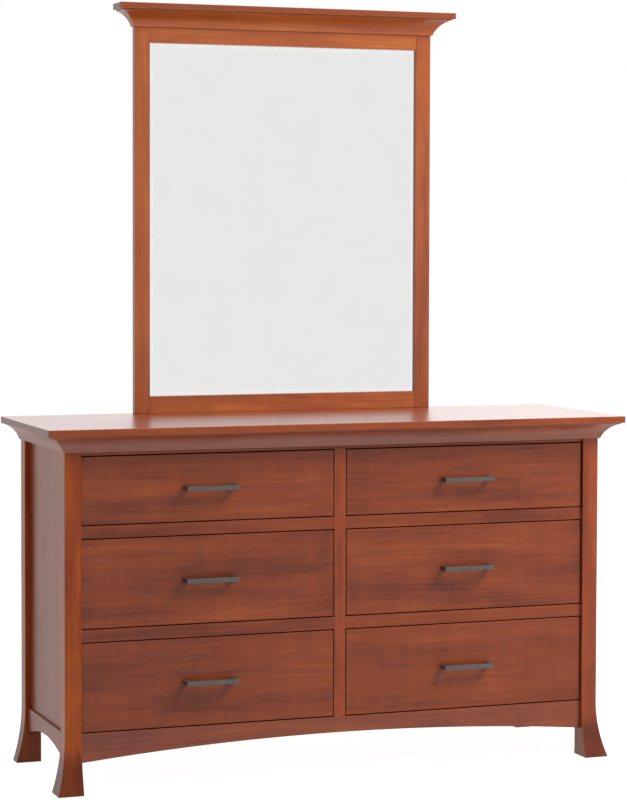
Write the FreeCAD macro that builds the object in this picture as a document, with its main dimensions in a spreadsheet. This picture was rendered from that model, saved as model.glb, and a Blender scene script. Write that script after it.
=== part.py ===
import FreeCAD, Part
import math
import os
import re

import Sketcher
from FreeCAD import Placement, Rotation, Vector

# A six-drawer dresser with a framed mirror standing on it. Millimetres, +Z up, front towards -Y.
# The origin lies on the floor, under the middle of the whole object's width and depth.

SIZES = {
    # Top slab and the cove moulding below it, which the mirror's cap repeats
    "top_width": 1600,
    "top_depth": 521,
    "top_thick": 18,
    "top_round": 2,
    "crown_height": 44,
    "crown_lip": 4.5,
    "crown_run": 41.5,
    "crown_edge": 2.5,
    "crown_reveal": 9,
    "cove_radius": 62,
    # Posts with flared feet
    "post_size": 44,
    "side_flare": 24,
    "front_flare": 27,
    "flare_height": 150,
    # Front frame: rails, stile and apron
    "frame_setback": 9,
    "frame_thick": 20,
    "rail_height": 32,
    "stile_width": 32,
    "rail_reveal": 9,
    "upper_opening": 179,
    "lower_opening": 232,
    "floor_height": 152,
    "apron_low": 76.5,
    "front_rise": 34,
    # Sides, back and inside of the case
    "apron_setback": 7.5,
    "panel_setback": 14.5,
    "side_rise": 33.5,
    "ledge_drop": 4,
    "side_thick": 20,
    "bottom_thick": 12,
    "back_thick": 6,
    "back_rabbet": 10,
    "rear_rail": 48,
    # Joints of the frame
    "tenon_thick": 8,
    "tenon_length": 18,
    "stile_tenon": 12,
    "shoulder": 6,
    "tongue_length": 8,
    # Drawers
    "drawer_gap": 3,
    "side_gap": 2,
    "front_thick": 20,
    "front_ease": 1.2,
    "box_thick": 13,
    "box_lift": 12,
    "box_drop": 25,
    "box_rear_gap": 16,
    "box_bottom": 6,
    "bottom_inset": 12,
    "groove_depth": 6,
    "tail_width": 31,
    "tail_pitch": 46,
    "tail_slope": 2.2,
    # Drawer slides
    "slide_space": 13,
    "slide_height": 45,
    "slide_gauge": 1.2,
    "slide_play": 0.4,
    "slide_lip": 9,
    "slide_lift": 48,
    "slide_front_gap": 4,
    "slide_rear_gap": 5,
    "packer_height": 64,
    # Pulls
    "pull_centres": 128,
    "pull_bar": 12,
    "pull_depth": 10,
    "pull_reach": 32,
    "pull_ease": 0.8,
    # Mirror
    "mirror_stile_width": 43,
    "mirror_thick": 22,
    "sight_width": 780,
    "sight_height": 961,
    "mirror_base": 46,
    "mirror_reveal": 42,
    "cap_thick": 17,
    "glass_setback": 9.5,
    "glass_thick": 5,
    "glass_gap": 0.5,
    "glass_rabbet": 8,
    "bevel_width": 20,
    "bevel_drop": 0.25,
    "backing_thick": 4,
    "mirror_tenon": 24,
    # Mirror supports behind the case
    "support_inset": 13,
    "support_width": 44,
    "support_thick": 18,
    "support_above": 560,
    "support_below": 330,
}

# Places worked out from the driving dimensions
PLACES = {
    "crown_width": "crown_lip + crown_run",
    "overhang": "crown_width + crown_reveal",
    "half_top": "top_width / 2",
    "half_case": "half_top - overhang",
    "half_inside": "half_case - post_size",
    "half_stile": "stile_width / 2",
    "half_drawers": "(half_stile + half_inside) / 2",
    "y_front": "-(top_depth + support_thick) / 2",
    "y_back": "y_front + top_depth",
    "y_post": "y_front + overhang",
    "y_side": "y_post + post_size",
    "y_rear_post": "y_back - post_size",
    "y_face": "y_post + frame_setback",
    "y_frame": "y_face + frame_thick",
    "y_inside": "y_back - back_thick",
    "y_rear_rail": "y_inside - frame_thick",
    "y_tenon": "y_face + (frame_thick - tenon_thick) / 2",
    "z_ledge": "floor_height - ledge_drop",
    "z_low_rail": "floor_height + lower_opening",
    "z_middle": "z_low_rail + rail_height",
    "z_high_rail": "z_middle + lower_opening",
    "z_upper": "z_high_rail + rail_height",
    "z_top_rail": "z_upper + upper_opening",
    "z_crown": "z_top_rail + rail_reveal",
    "z_case": "z_crown + crown_height",
    "z_top": "z_case + top_thick",
    "x_apron": "half_case - apron_setback - frame_thick",
    "x_panel": "half_case - panel_setback - side_thick",
    "y_box": "y_face + front_thick",
    "y_box_end": "y_inside - box_rear_gap",
    "x_box": "half_stile + slide_space",
    "x_box_end": "half_inside - slide_space",
    "y_slide": "y_box + slide_front_gap",
    "y_slide_end": "y_box_end - slide_rear_gap",
    "slide_step": "slide_gauge + slide_play",
    "half_slide": "slide_height / 2",
    "half_sight": "sight_width / 2",
    "half_mirror": "half_sight + mirror_stile_width",
    "y_mirror": "y_back - mirror_thick",
    "y_glass": "y_mirror + glass_setback",
    "y_backing": "y_glass + glass_thick",
    "z_sight": "z_top + mirror_base",
    "z_sight_end": "z_sight + sight_height",
    "z_mirror_crown": "z_sight_end + mirror_reveal",
    "z_cap": "z_mirror_crown + crown_height",
    "half_glass": "half_sight + glass_rabbet - glass_gap",
    "z_glass": "z_sight - glass_rabbet + glass_gap",
    "z_glass_end": "z_sight_end + glass_rabbet - glass_gap",
    "y_mirror_tenon": "y_mirror + (mirror_thick - tenon_thick) / 2",
}

# Each row of drawers: its name, the bottom of its opening and its opening's height
ROWS = (
    ("upper", "z_upper", "upper_opening"),
    ("middle", "z_middle", "lower_opening"),
    ("lower", "floor_height", "lower_opening"),
)

# Each sketch plane: the axis that a pad runs along, and whether the pad has to be turned round to follow it
PLANES = {
    "XY_Plane": ("z", False),
    "XZ_Plane": ("y", True),
    "YZ_Plane": ("x", False),
}

TOUCH = 0.01

doc = FreeCAD.newDocument("dresser_with_mirror")
sheet = doc.addObject("Spreadsheet::Sheet", "dims")
for row, (alias, size) in enumerate(SIZES.items(), 1):
    sheet.set(f"A{row}", alias)
    sheet.set(f"B{row}", str(size))
    sheet.setAlias(f"B{row}", alias)
doc.recompute()

nodes = []


def spell(text):
    """Writes a size out in driving dimensions, as an expression that the document follows."""

    def swap(found):
        word = found.group(0)
        if word in PLACES:
            return f"({spell(PLACES[word])})"
        return f"dims.{word}" if word in SIZES else word

    return re.sub(r"[a-z_]+", swap, text)


def value(text):
    """Returns the present value of a size."""
    return float(sheet.evalExpression(spell(text)))


def bind(item, sizes):
    """Ties properties of an object to sizes."""
    for name, text in sizes.items():
        item.setExpression(name, spell(text))


def keep(piece):
    """Marks an object as a finished sub-part, which gets a file of its own."""
    nodes.append(piece)
    return piece


def board(name, x, y, z):
    """Makes a square-edged board between a low and a high place on each axis."""
    box = doc.addObject("Part::Box", name)
    for side, axis, (low, high) in (("Length", "x", x), ("Width", "y", y), ("Height", "z", z)):
        bind(box, {side: f"({high}) - ({low})", f"Placement.Base.{axis}": low})
    return box


def group(name, pieces):
    """Gathers separate solids under one name."""
    compound = doc.addObject("Part::Compound", name)
    compound.Links = pieces
    return compound


def cut(name, base, tools):
    """Takes tools away from a piece."""
    result = doc.addObject("Part::Cut", name)
    result.Base = base
    result.Tool = tools[0] if len(tools) == 1 else group(f"{name}_tools", tools)
    return result


def fuse(name, pieces):
    """Joins pieces that are worked from one length of wood or metal."""
    result = doc.addObject("Part::MultiFuse", name)
    result.Shapes = pieces
    result.Refine = True
    return result


def mirrored(name, piece, middle="0"):
    """Makes the opposite hand of a piece across an upright plane that faces along X."""
    twin = doc.addObject("Part::Mirroring", name)
    twin.Source = piece
    twin.Normal = Vector(1, 0, 0)
    bind(twin, {"Base.x": middle})
    return twin


def arc_middle(start, end, radius, side):
    """Finds the middle of an arc that bows to the left of its way (side 1) or to the right (side -1)."""
    chord = end - start
    bow = radius - math.sqrt(radius**2 - (chord.Length / 2) ** 2)
    left = Vector(-chord.y, chord.x, 0).normalize()
    return (start + end) * 0.5 + left * (side * bow)


def outline(body, name, role, corners, arcs):
    """Sketches a closed outline on one of a body's own planes.

    The corners are pairs of sizes, in order. For an edge's number, arcs holds the radius and the side of the
    arc that takes the place of a straight line. A sketch keeps every arc anticlockwise, so an arc that bows
    to the left of the way round is drawn from its end. Each corner and radius stays tied to its sizes.
    """
    sketch = body.newObject("Sketcher::SketchObject", name)
    sketch.AttachmentSupport = [(next(p for p in body.Origin.OriginFeatures if p.Role == role), "")]
    sketch.MapMode = "FlatFace"
    points = [Vector(value(across), value(up), 0) for across, up in corners]
    ends = []
    for edge, start in enumerate(points):
        end = points[(edge + 1) % len(points)]
        radius, side = arcs.get(edge, ("0", 0))
        if side == 0:
            curve = Part.LineSegment(start, end)
        elif side < 0:
            curve = Part.Arc(start, arc_middle(start, end, value(radius), side), end)
        else:
            curve = Part.Arc(end, arc_middle(start, end, value(radius), side), start)
        sketch.addGeometry(curve, False)
        ends.append((2, 1) if side > 0 else (1, 2))
    for edge, (across, up) in enumerate(corners):
        following = (edge + 1) % len(corners)
        meeting = (edge, ends[edge][1], following, ends[following][0])
        sketch.addConstraint(Sketcher.Constraint("Coincident", *meeting))
        for kind, text in (("DistanceX", across), ("DistanceY", up)):
            rule = sketch.addConstraint(Sketcher.Constraint(kind, edge, ends[edge][0], value(text)))
            bind(sketch, {f"Constraints[{rule}]": text})
    for edge, (radius, _) in arcs.items():
        rule = sketch.addConstraint(Sketcher.Constraint("Radius", edge, value(radius)))
        bind(sketch, {f"Constraints[{rule}]": radius})
    return sketch


def profile(name, role, corners, low, thick, arcs=None):
    """Makes a body from an outline, padded from a low place along the plane's own axis."""
    body = doc.addObject("PartDesign::Body", name)
    axis, turned = PLANES[role]
    pad = body.newObject("PartDesign::Pad", f"{name}_pad")
    pad.Profile = outline(body, f"{name}_outline", role, corners, arcs or {})
    pad.Reversed = turned
    body.Tip = pad
    bind(pad, {"Length": thick})
    bind(body, {f"Placement.Base.{axis}": low})
    return body


def carve(body, role, corners, arcs):
    """Cuts an outline right through a body, both ways from one of its own planes."""
    pocket = body.newObject("PartDesign::Pocket", f"{body.Name}_carve")
    pocket.Profile = outline(body, f"{body.Name}_waste", role, corners, arcs)
    pocket.Type = "ThroughAll"
    pocket.SideType = "Symmetric"
    body.Tip = pocket


def ease(body, kind, size, wanted):
    """Rounds or chamfers the edges of a body whose middles pass a test."""
    doc.recompute()
    base = body.Tip
    edges = [f"Edge{n}" for n, edge in enumerate(base.Shape.Edges, 1) if wanted(edge.CenterOfMass)]
    eased = body.newObject(f"PartDesign::{kind}", f"{body.Name}_ease")
    eased.Base = (base, edges)
    body.Tip = eased
    bind(eased, {"Radius" if kind == "Fillet" else "Size": size})


def rectangle(x, y):
    """Lists the corners of a rectangle between a low and a high place on each axis."""
    return [(x[0], y[0]), (x[1], y[0]), (x[1], y[1]), (x[0], y[1])]


def arc_radius(half, rise):
    """Writes the radius of an arc from half its chord and its rise."""
    return f"(({half}) * ({half}) + ({rise}) * ({rise})) / (2 * ({rise}))"


def eased_slab(name, half, y_low, z_low, thick):
    """Makes a slab with all its edges rounded but the rear ones."""
    slab = profile(name, "XY_Plane", rectangle((f"-({half})", half), (y_low, "y_back")), z_low, thick)
    rear = value("y_back")
    ease(slab, "Fillet", "top_round", lambda place: place.y < rear - TOUCH)
    return slab


def crown_front(name, half, wall, z_low):
    """Makes the front length of a cove moulding, mitred at both ends, against a wall that faces -Y."""
    front = f"{wall} - crown_width"
    end = f"{half} + crown_width"
    plan = [(f"-({end})", front), (end, front), (half, wall), (f"-({half})", wall)]
    moulding = profile(name, "XY_Plane", plan, z_low, "crown_height")
    waste = [
        (f"{wall} - crown_lip", "0"),
        (front, "crown_height - crown_edge"),
        (f"{front} - crown_reveal", "crown_height - crown_edge"),
        (f"{front} - crown_reveal", "0"),
    ]
    carve(moulding, "YZ_Plane", waste, {0: ("cove_radius", -1)})
    return moulding


def crown_side(name, half, wall, z_low):
    """Makes the right-hand length of a cove moulding, mitred at its front end and square at the rear."""
    end = f"{half} + crown_width"
    plan = [(half, wall), (end, f"{wall} - crown_width"), (end, "y_back"), (half, "y_back")]
    moulding = profile(name, "XY_Plane", plan, z_low, "crown_height")
    waste = [
        (f"{half} + crown_lip", "0"),
        (end, "crown_height - crown_edge"),
        (f"{end} + crown_reveal", "crown_height - crown_edge"),
        (f"{end} + crown_reveal", "0"),
    ]
    carve(moulding, "XZ_Plane", waste, {0: ("cove_radius", 1)})
    return moulding


def post_blank(name, y_low, depth):
    """Makes a right-hand post whose foot flares sideways to the floor."""
    corners = [
        ("half_inside", "0"),
        ("half_case + side_flare", "0"),
        ("half_case", "flare_height"),
        ("half_case", "z_case"),
        ("half_inside", "z_case"),
    ]
    flare = {1: (arc_radius("flare_height", "side_flare"), 1)}
    return profile(name, "XZ_Plane", corners, y_low, depth, flare)


def flare_front(post):
    """Shapes the front of a post so that its foot flares forwards too, down to the floor."""
    waste = [
        ("0", "0"),
        ("front_flare", "flare_height"),
        ("front_flare", "z_case + shoulder"),
        ("-shoulder", "z_case + shoulder"),
        ("-shoulder", "0"),
    ]
    carve(post, "YZ_Plane", waste, {0: (arc_radius("flare_height", "front_flare"), -1)})


def tenon_pair(name, low, z):
    """Makes the tenons at both ends of a rail between the posts, the right-hand one first."""
    x = ("half_inside", "half_inside + tenon_length")
    right = board(f"{name}_right_tenon", x, (low, f"{low} + tenon_thick"), z)
    return [right, mirrored(f"{name}_left_tenon", right)]


# The front frame, with tenons that the posts are mortised for.

inside_span = ("-half_inside", "half_inside")
frame_depth = ("y_face", "y_frame")
tenon_depth = ("y_tenon", "y_tenon + tenon_thick")

top_rail_tenons = tenon_pair("front_top_rail", "y_tenon", ("z_top_rail + shoulder", "z_case - shoulder"))
apron_tenons = tenon_pair("front_apron", "y_tenon", ("apron_low + shoulder", "floor_height - shoulder"))

stile_tenons = [
    board(
        f"centre_stile_{place}_tenon",
        ("-half_stile + shoulder", "half_stile - shoulder"),
        tenon_depth,
        span,
    )
    for place, span in (
        ("lower", ("floor_height - stile_tenon", "floor_height")),
        ("upper", ("z_top_rail", "z_top_rail + stile_tenon")),
    )
]

rail_pieces = []
rail_tenons = []
stile_mortises = []
for place, low in (("lower", "z_low_rail"), ("upper", "z_high_rail")):
    tenon_span = (f"{low} + shoulder", f"{low} + rail_height - shoulder")
    rail = board(
        f"{place}_rail_board",
        ("half_stile", "half_inside"),
        frame_depth,
        (low, f"{low} + rail_height"),
    )
    post_end = board(
        f"{place}_rail_post_tenon",
        ("half_inside", "half_inside + tenon_length"),
        tenon_depth,
        tenon_span,
    )
    stile_end = board(
        f"{place}_rail_stile_tenon",
        ("half_stile - stile_tenon", "half_stile"),
        tenon_depth,
        tenon_span,
    )
    right_rail = fuse(f"{place}_right_rail", [rail, post_end, stile_end])
    rail_pieces += [right_rail, mirrored(f"{place}_left_rail", right_rail)]
    rail_tenons.append(post_end)
    stile_mortises += [stile_end, mirrored(f"{place}_stile_mortise", stile_end)]
keep(group("drawer_rails", rail_pieces))

stile_span = ("-half_stile", "half_stile")
stile_board = board("centre_stile_board", stile_span, frame_depth, ("floor_height", "z_top_rail"))
stile_blank = fuse("centre_stile_blank", [stile_board, *stile_tenons])
keep(cut("centre_stile", stile_blank, stile_mortises))

top_rail_board = board("front_top_rail_board", inside_span, frame_depth, ("z_top_rail", "z_case"))
top_rail_blank = fuse("front_top_rail_blank", [top_rail_board, *top_rail_tenons])
keep(cut("front_top_rail", top_rail_blank, stile_tenons[1:]))

apron_board = profile(
    "front_apron_board",
    "XZ_Plane",
    rectangle(inside_span, ("apron_low", "floor_height")),
    "y_face",
    "frame_thick",
    {0: (arc_radius("half_inside", "front_rise"), 1)},
)
apron_blank = fuse("front_apron_blank", [apron_board, *apron_tenons])
keep(cut("front_apron", apron_blank, stile_tenons[:1]))

# The sides: an arched apron and a panel between each pair of posts, and a rail behind the crown.

side_span = ("y_side", "y_rear_post")
apron_tenon_x = ("x_apron + (frame_thick - tenon_thick) / 2", "x_apron + (frame_thick + tenon_thick) / 2")
side_apron_board = profile(
    "side_apron_board",
    "YZ_Plane",
    rectangle(side_span, ("apron_low", "z_ledge")),
    "x_apron",
    "frame_thick",
    {0: (arc_radius("(y_rear_post - y_side) / 2", "side_rise"), 1)},
)
tongue_x = ("x_panel + (side_thick - tenon_thick) / 2", "x_panel + (side_thick + tenon_thick) / 2")
panel_x = ("x_panel", "x_panel + side_thick")
side_board = board("side_panel_board", panel_x, side_span, ("z_ledge", "z_case"))
apron_ends = {}
panel_ends = {}
for end, seam, sign in (("front", "y_side", "-"), ("rear", "y_rear_post", "+")):
    tenon_y = sorted((seam, f"{seam} {sign} tenon_length"), key=value)
    tongue_y = sorted((seam, f"{seam} {sign} tongue_length"), key=value)
    tenon_z = ("apron_low + shoulder", "z_ledge - shoulder")
    apron_ends[end] = board(f"side_apron_{end}_tenon", apron_tenon_x, tenon_y, tenon_z)
    panel_ends[end] = board(f"side_panel_{end}_tongue", tongue_x, tongue_y, ("z_ledge", "z_case"))
right_apron = keep(fuse("right_side_apron", [side_apron_board, *apron_ends.values()]))
keep(mirrored("left_side_apron", right_apron))
right_panel = keep(fuse("right_side_panel", [side_board, *panel_ends.values()]))
keep(mirrored("left_side_panel", right_panel))

side_rail_x = ("x_panel + side_thick", "half_case")
side_rail = board("right_side_rail", side_rail_x, side_span, ("z_crown", "z_case"))

# The mirror's supports, fixed to the back of the case and of the mirror.

right_support = board(
    "right_support",
    ("half_mirror - support_inset - support_width", "half_mirror - support_inset"),
    ("y_back", "y_back + support_thick"),
    ("z_top - support_below", "z_top + support_above"),
)
keep(group("mirror_supports", [right_support, mirrored("left_support", right_support)]))

# The back and the inside of the case.

back_panel = board(
    "back_panel",
    ("-half_inside - back_rabbet", "half_inside + back_rabbet"),
    ("y_inside", "y_back"),
    ("z_ledge - rear_rail", "z_case"),
)
keep(back_panel)

rear_rails = []
rear_tenons = []
rear_tenon_y = "y_rear_rail + (frame_thick - tenon_thick) / 2"
for place, low, high in (("top", "z_top_rail", "z_case"), ("bottom", "z_ledge - rear_rail", "z_ledge")):
    rail = board(f"rear_{place}_board", inside_span, ("y_rear_rail", "y_inside"), (low, high))
    tenons = tenon_pair(f"rear_{place}_rail", rear_tenon_y, (f"{low} + shoulder", f"{high} - shoulder"))
    rear_rails.append(fuse(f"rear_{place}_rail", [rail, *tenons]))
    rear_tenons.append(tenons[0])
keep(group("carcass_rails", [side_rail, mirrored("left_side_rail", side_rail), *rear_rails]))

inside_depth = ("y_frame", "y_rear_rail")
keep(board("centre_partition", stile_span, inside_depth, ("z_ledge", "z_case")))
keep(board("bottom_panel", inside_span, inside_depth, ("z_ledge - bottom_thick", "z_ledge")))

# The posts, mortised for the rails and grooved for the panels.

front_blank = post_blank("front_post_blank", "y_post - front_flare", "front_flare + post_size")
flare_front(front_blank)
front_tools = [top_rail_tenons[0], apron_tenons[0], *rail_tenons, apron_ends["front"], panel_ends["front"]]
front_post = keep(cut("front_right_post", front_blank, front_tools))
keep(mirrored("front_left_post", front_post))

rear_blank = post_blank("rear_post_blank", "y_rear_post", "post_size")
rear_tools = [*rear_tenons, apron_ends["rear"], panel_ends["rear"], back_panel]
rear_post = keep(cut("rear_right_post", rear_blank, rear_tools))
keep(mirrored("rear_left_post", rear_post))

# The top and its crown moulding.

keep(eased_slab("top_slab", "half_top", "y_front", "z_case", "top_thick"))
keep(crown_front("crown_front", "half_case", "y_post", "z_crown"))
right_crown = crown_side("right_crown", "half_case", "y_post", "z_crown")
keep(group("crown_sides", [right_crown, mirrored("left_crown", right_crown)]))

# The mirror: a frame rabbeted for the glass and its backing, under a crown and a cap.

mirror_depth = ("y_mirror", "y_back")
glass_pocket = board(
    "glass_pocket",
    ("-half_sight - glass_rabbet", "half_sight + glass_rabbet"),
    ("y_glass", "y_back"),
    ("z_sight - glass_rabbet", "z_sight_end + glass_rabbet"),
)
mirror_tenons = []
for place, span, tenon_span in (
    ("bottom", ("z_top", "z_sight"), ("z_top + shoulder", "z_sight - glass_rabbet - shoulder")),
    ("top", ("z_sight_end", "z_cap"), ("z_sight_end + glass_rabbet + shoulder", "z_cap - shoulder")),
):
    rail = board(f"mirror_{place}_board", ("-half_sight", "half_sight"), mirror_depth, span)
    tenon = board(
        f"mirror_{place}_right_tenon",
        ("half_sight", "half_sight + mirror_tenon"),
        ("y_mirror_tenon", "y_mirror_tenon + tenon_thick"),
        tenon_span,
    )
    rail_blank = fuse(f"mirror_{place}_blank", [rail, tenon, mirrored(f"mirror_{place}_left_tenon", tenon)])
    keep(cut(f"mirror_{place}_rail", rail_blank, [glass_pocket]))
    mirror_tenons.append(tenon)

stile_length = board("mirror_stile_board", ("half_sight", "half_mirror"), mirror_depth, ("z_top", "z_cap"))
mirror_right = keep(cut("mirror_right_stile", stile_length, [glass_pocket, *mirror_tenons]))
keep(mirrored("mirror_left_stile", mirror_right))

glass_plate = board(
    "glass_plate",
    ("-half_glass", "half_glass"),
    ("y_glass + bevel_drop", "y_backing"),
    ("z_glass", "z_glass_end"),
)
glass_bevel = doc.addObject("Part::Wedge", "glass_bevel")
bind(glass_bevel, {"Ymin": "y_glass", "Ymax": "y_glass + bevel_drop"})
bind(glass_bevel, {"Xmin": "-half_glass + bevel_width", "Xmax": "half_glass - bevel_width"})
bind(glass_bevel, {"Zmin": "z_glass + bevel_width", "Zmax": "z_glass_end - bevel_width"})
bind(glass_bevel, {"X2min": "-half_glass", "X2max": "half_glass", "Z2min": "z_glass", "Z2max": "z_glass_end"})
keep(fuse("mirror_glass", [glass_plate, glass_bevel]))

keep(
    board(
        "mirror_backing",
        ("-half_glass", "half_glass"),
        ("y_backing", "y_backing + backing_thick"),
        ("z_glass", "z_glass_end"),
    )
)

mirror_front_crown = crown_front("mirror_front_crown", "half_mirror", "y_mirror", "z_mirror_crown")
mirror_end_crown = crown_side("mirror_right_crown", "half_mirror", "y_mirror", "z_mirror_crown")
mirror_crowns = [mirror_front_crown, mirror_end_crown, mirrored("mirror_left_crown", mirror_end_crown)]
keep(group("mirror_crown", mirror_crowns))
keep(eased_slab("mirror_cap", "half_mirror + overhang", "y_mirror - overhang", "z_cap", "cap_thick"))


def channel(name, x, z_middle, half, web_on_right):
    """Makes one length of a drawer slide: a thin channel with its web on one side."""
    low, high = x
    span = ("y_slide", "y_slide_end")
    blank = board(f"{name}_blank", x, span, (f"{z_middle} - ({half})", f"{z_middle} + ({half})"))
    shift = "- slide_gauge" if web_on_right else "+ slide_gauge"
    inner = f"({half}) - slide_gauge"
    hollow = board(
        f"{name}_hollow",
        (f"{low} {shift}", f"{high} {shift}"),
        span,
        (f"{z_middle} - ({inner})", f"{z_middle} + ({inner})"),
    )
    return cut(name, blank, [hollow])


def both_sides(name, piece):
    """Pairs a right-hand length of a slide with the one on the drawer's other side."""
    return [piece, mirrored(f"{name}_near", piece, "half_drawers")]


def tail(name, x, y, middle, flares_forwards):
    """Makes one dovetail, which widens towards the end of the drawer's side."""
    wide = "tail_width / 2"
    narrow = "tail_width / 2 - tail_slope"
    first, last = (wide, narrow) if flares_forwards else (narrow, wide)
    wedge = doc.addObject("Part::Wedge", name)
    bind(wedge, {"Xmin": x[0], "Xmax": x[1], "X2min": x[0], "X2max": x[1], "Ymin": y[0], "Ymax": y[1]})
    bind(wedge, {"Zmin": f"{middle} - ({first})", "Zmax": f"{middle} + ({first})"})
    bind(wedge, {"Z2min": f"{middle} - ({last})", "Z2max": f"{middle} + ({last})"})
    return wedge


def bar_pull(name, z_middle):
    """Makes a bar pull with two legs, with the edges that show eased."""
    half = "(pull_centres + pull_bar) / 2"
    inner = "(pull_centres - pull_bar) / 2"
    corners = [
        (f"-{half}", "0"),
        (f"-{half}", "-pull_reach"),
        (half, "-pull_reach"),
        (half, "0"),
        (inner, "0"),
        (inner, "pull_depth - pull_reach"),
        (f"-{inner}", "pull_depth - pull_reach"),
        (f"-{inner}", "0"),
    ]
    bar = profile(name, "XY_Plane", corners, f"{z_middle} - pull_bar / 2", "pull_bar")
    bind(bar, {"Placement.Base.x": "half_drawers", "Placement.Base.y": "y_face"})
    front = value("-pull_reach")
    side = value(half)

    def shows(place):
        return place.y < front + TOUCH or (abs(place.x) > side - TOUCH and place.y < -TOUCH)

    ease(bar, "Chamfer", "pull_ease", shows)
    return bar


def drawer_front(name, low, high):
    """Makes a drawer front with its front edges eased."""
    x = ("half_stile + side_gap", "half_inside - side_gap")
    z = (f"{low} + drawer_gap", f"{high} - drawer_gap")
    face = profile(name, "XZ_Plane", rectangle(x, z), "y_face", "front_thick")
    ease(face, "Chamfer", "front_ease", lambda place: place.y < TOUCH)
    return face


def drawer_box(name, low, high):
    """Makes a drawer box: sides dovetailed to a front and a back, and a bottom in grooves all round."""
    z = (f"{low} + box_lift", f"{high} - box_drop")
    tails = int(value(f"({z[1]}) - ({z[0]})") // value("tail_pitch"))
    pitch = f"(({z[1]}) - ({z[0]})) / {tails}"
    sides = {"near": ("x_box", "x_box + box_thick"), "far": ("x_box_end - box_thick", "x_box_end")}
    ends = {"front": ("y_box", "y_box + box_thick"), "rear": ("y_box_end - box_thick", "y_box_end")}
    bottom = board(
        f"{name}_bottom",
        ("x_box + box_thick - groove_depth", "x_box_end - box_thick + groove_depth"),
        ("y_box + box_thick - groove_depth", "y_box_end - box_thick + groove_depth"),
        (f"{z[0]} + bottom_inset", f"{z[0]} + bottom_inset + box_bottom"),
    )
    end_boards = []
    for end, y in ends.items():
        middles = [f"{z[0]} + {pitch} * ({count} + 1 / 2)" for count in range(tails)]
        joints = [
            tail(f"{name}_{end}_{side}_tail_{count}", x, y, middle, end == "front")
            for side, x in sides.items()
            for count, middle in enumerate(middles)
        ]
        blank = board(f"{name}_{end}_blank", ("x_box", "x_box_end"), y, z)
        end_boards.append(cut(f"{name}_{end}", blank, [*joints, bottom]))
    side_boards = []
    for side, x in sides.items():
        blank = board(f"{name}_{side}_blank", x, ("y_box", "y_box_end"), z)
        side_boards.append(cut(f"{name}_{side}", blank, [*end_boards, bottom]))
    return group(name, [*side_boards, *end_boards, bottom])


# The right-hand drawers with their pulls and slides, then the left-hand ones as their opposite hand.
# A packer on the side panel brings each outer slide in line with the posts.

packers = []
case_channels = []
for row, low, height in ROWS:
    high = f"{low} + {height}"
    slide_z = f"{low} + box_lift + slide_lift"
    case_channel = channel(
        f"{row}_case_channel",
        ("half_inside - slide_lip", "half_inside"),
        slide_z,
        "half_slide",
        True,
    )
    carriage = channel(
        f"{row}_carriage",
        ("half_inside - slide_space + slide_step", "half_inside - slide_step"),
        slide_z,
        "half_slide - slide_step",
        True,
    )
    runner = channel(
        f"{row}_runner",
        ("half_inside - slide_space", "half_inside - 2 * slide_step"),
        slide_z,
        "half_slide - 2 * slide_step",
        False,
    )
    packer_z = (f"{slide_z} - packer_height / 2", f"{slide_z} + packer_height / 2")
    packers.append(board(f"{row}_packer", ("half_inside", "x_panel"), side_span, packer_z))
    case_channels += both_sides(f"{row}_case_channel", case_channel)
    right_pieces = {
        "drawer_front": drawer_front(f"{row}_right_drawer_front", low, high),
        "drawer_box": drawer_box(f"{row}_right_drawer_box", low, high),
        "pull": bar_pull(f"{row}_right_pull", f"{low} + {height} / 2"),
        "slide_runners": group(f"{row}_right_slide_runners", both_sides(f"{row}_runner", runner)),
        "slide_carriages": group(f"{row}_right_slide_carriages", both_sides(f"{row}_carriage", carriage)),
    }
    for kind, piece in right_pieces.items():
        keep(piece)
        keep(mirrored(f"{row}_left_{kind}", piece))
right_packers = group("right_slide_packers", packers)
keep(group("slide_packers", [right_packers, mirrored("left_slide_packers", right_packers)]))
right_channels = group("right_slide_channels", case_channels)
keep(group("slide_channels", [right_channels, mirrored("left_slide_channels", right_channels)]))

# Check every object, then write each sub-part.

doc.recompute()
faults = [item.Label for item in doc.Objects if "Invalid" in item.State or "Error" in item.State]
faults += [piece.Label for piece in nodes if piece.Shape.isNull() or not piece.Shape.isValid()]
if faults:
    raise RuntimeError("These objects did not build: " + ", ".join(faults))

os.makedirs("parts", exist_ok=True)
for piece in nodes:
    piece.Shape.exportStep(f"parts/{piece.Label}.step")
    print(piece.Label, len(piece.Shape.Solids), round(piece.Shape.Volume / 1000))
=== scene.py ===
"""Looks of a six-drawer dresser with a framed mirror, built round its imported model.

Every length is in metres, in the model's own frame: +Z up, front towards -Y, +X to the right of someone
who faces the front.
"""

import logging
import math
import random
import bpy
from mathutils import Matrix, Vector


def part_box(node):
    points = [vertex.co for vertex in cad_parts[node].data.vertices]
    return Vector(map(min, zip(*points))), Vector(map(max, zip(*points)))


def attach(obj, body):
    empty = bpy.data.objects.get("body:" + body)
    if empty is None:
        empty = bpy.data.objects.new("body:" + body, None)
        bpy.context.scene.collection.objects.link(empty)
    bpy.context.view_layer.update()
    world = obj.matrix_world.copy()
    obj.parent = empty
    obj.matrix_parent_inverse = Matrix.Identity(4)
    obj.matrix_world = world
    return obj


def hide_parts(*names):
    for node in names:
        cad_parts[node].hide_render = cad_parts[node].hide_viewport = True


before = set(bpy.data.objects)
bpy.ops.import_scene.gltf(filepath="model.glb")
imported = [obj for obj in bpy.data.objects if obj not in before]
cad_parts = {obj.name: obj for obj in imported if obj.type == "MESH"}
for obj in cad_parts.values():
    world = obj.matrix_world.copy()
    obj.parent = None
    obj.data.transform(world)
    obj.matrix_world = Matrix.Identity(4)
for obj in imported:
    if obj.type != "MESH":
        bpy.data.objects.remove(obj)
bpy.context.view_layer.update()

import zlib
from dataclasses import dataclass, replace
from enum import Enum
from typing import Any, Callable, Optional, Protocol, Sequence

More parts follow.
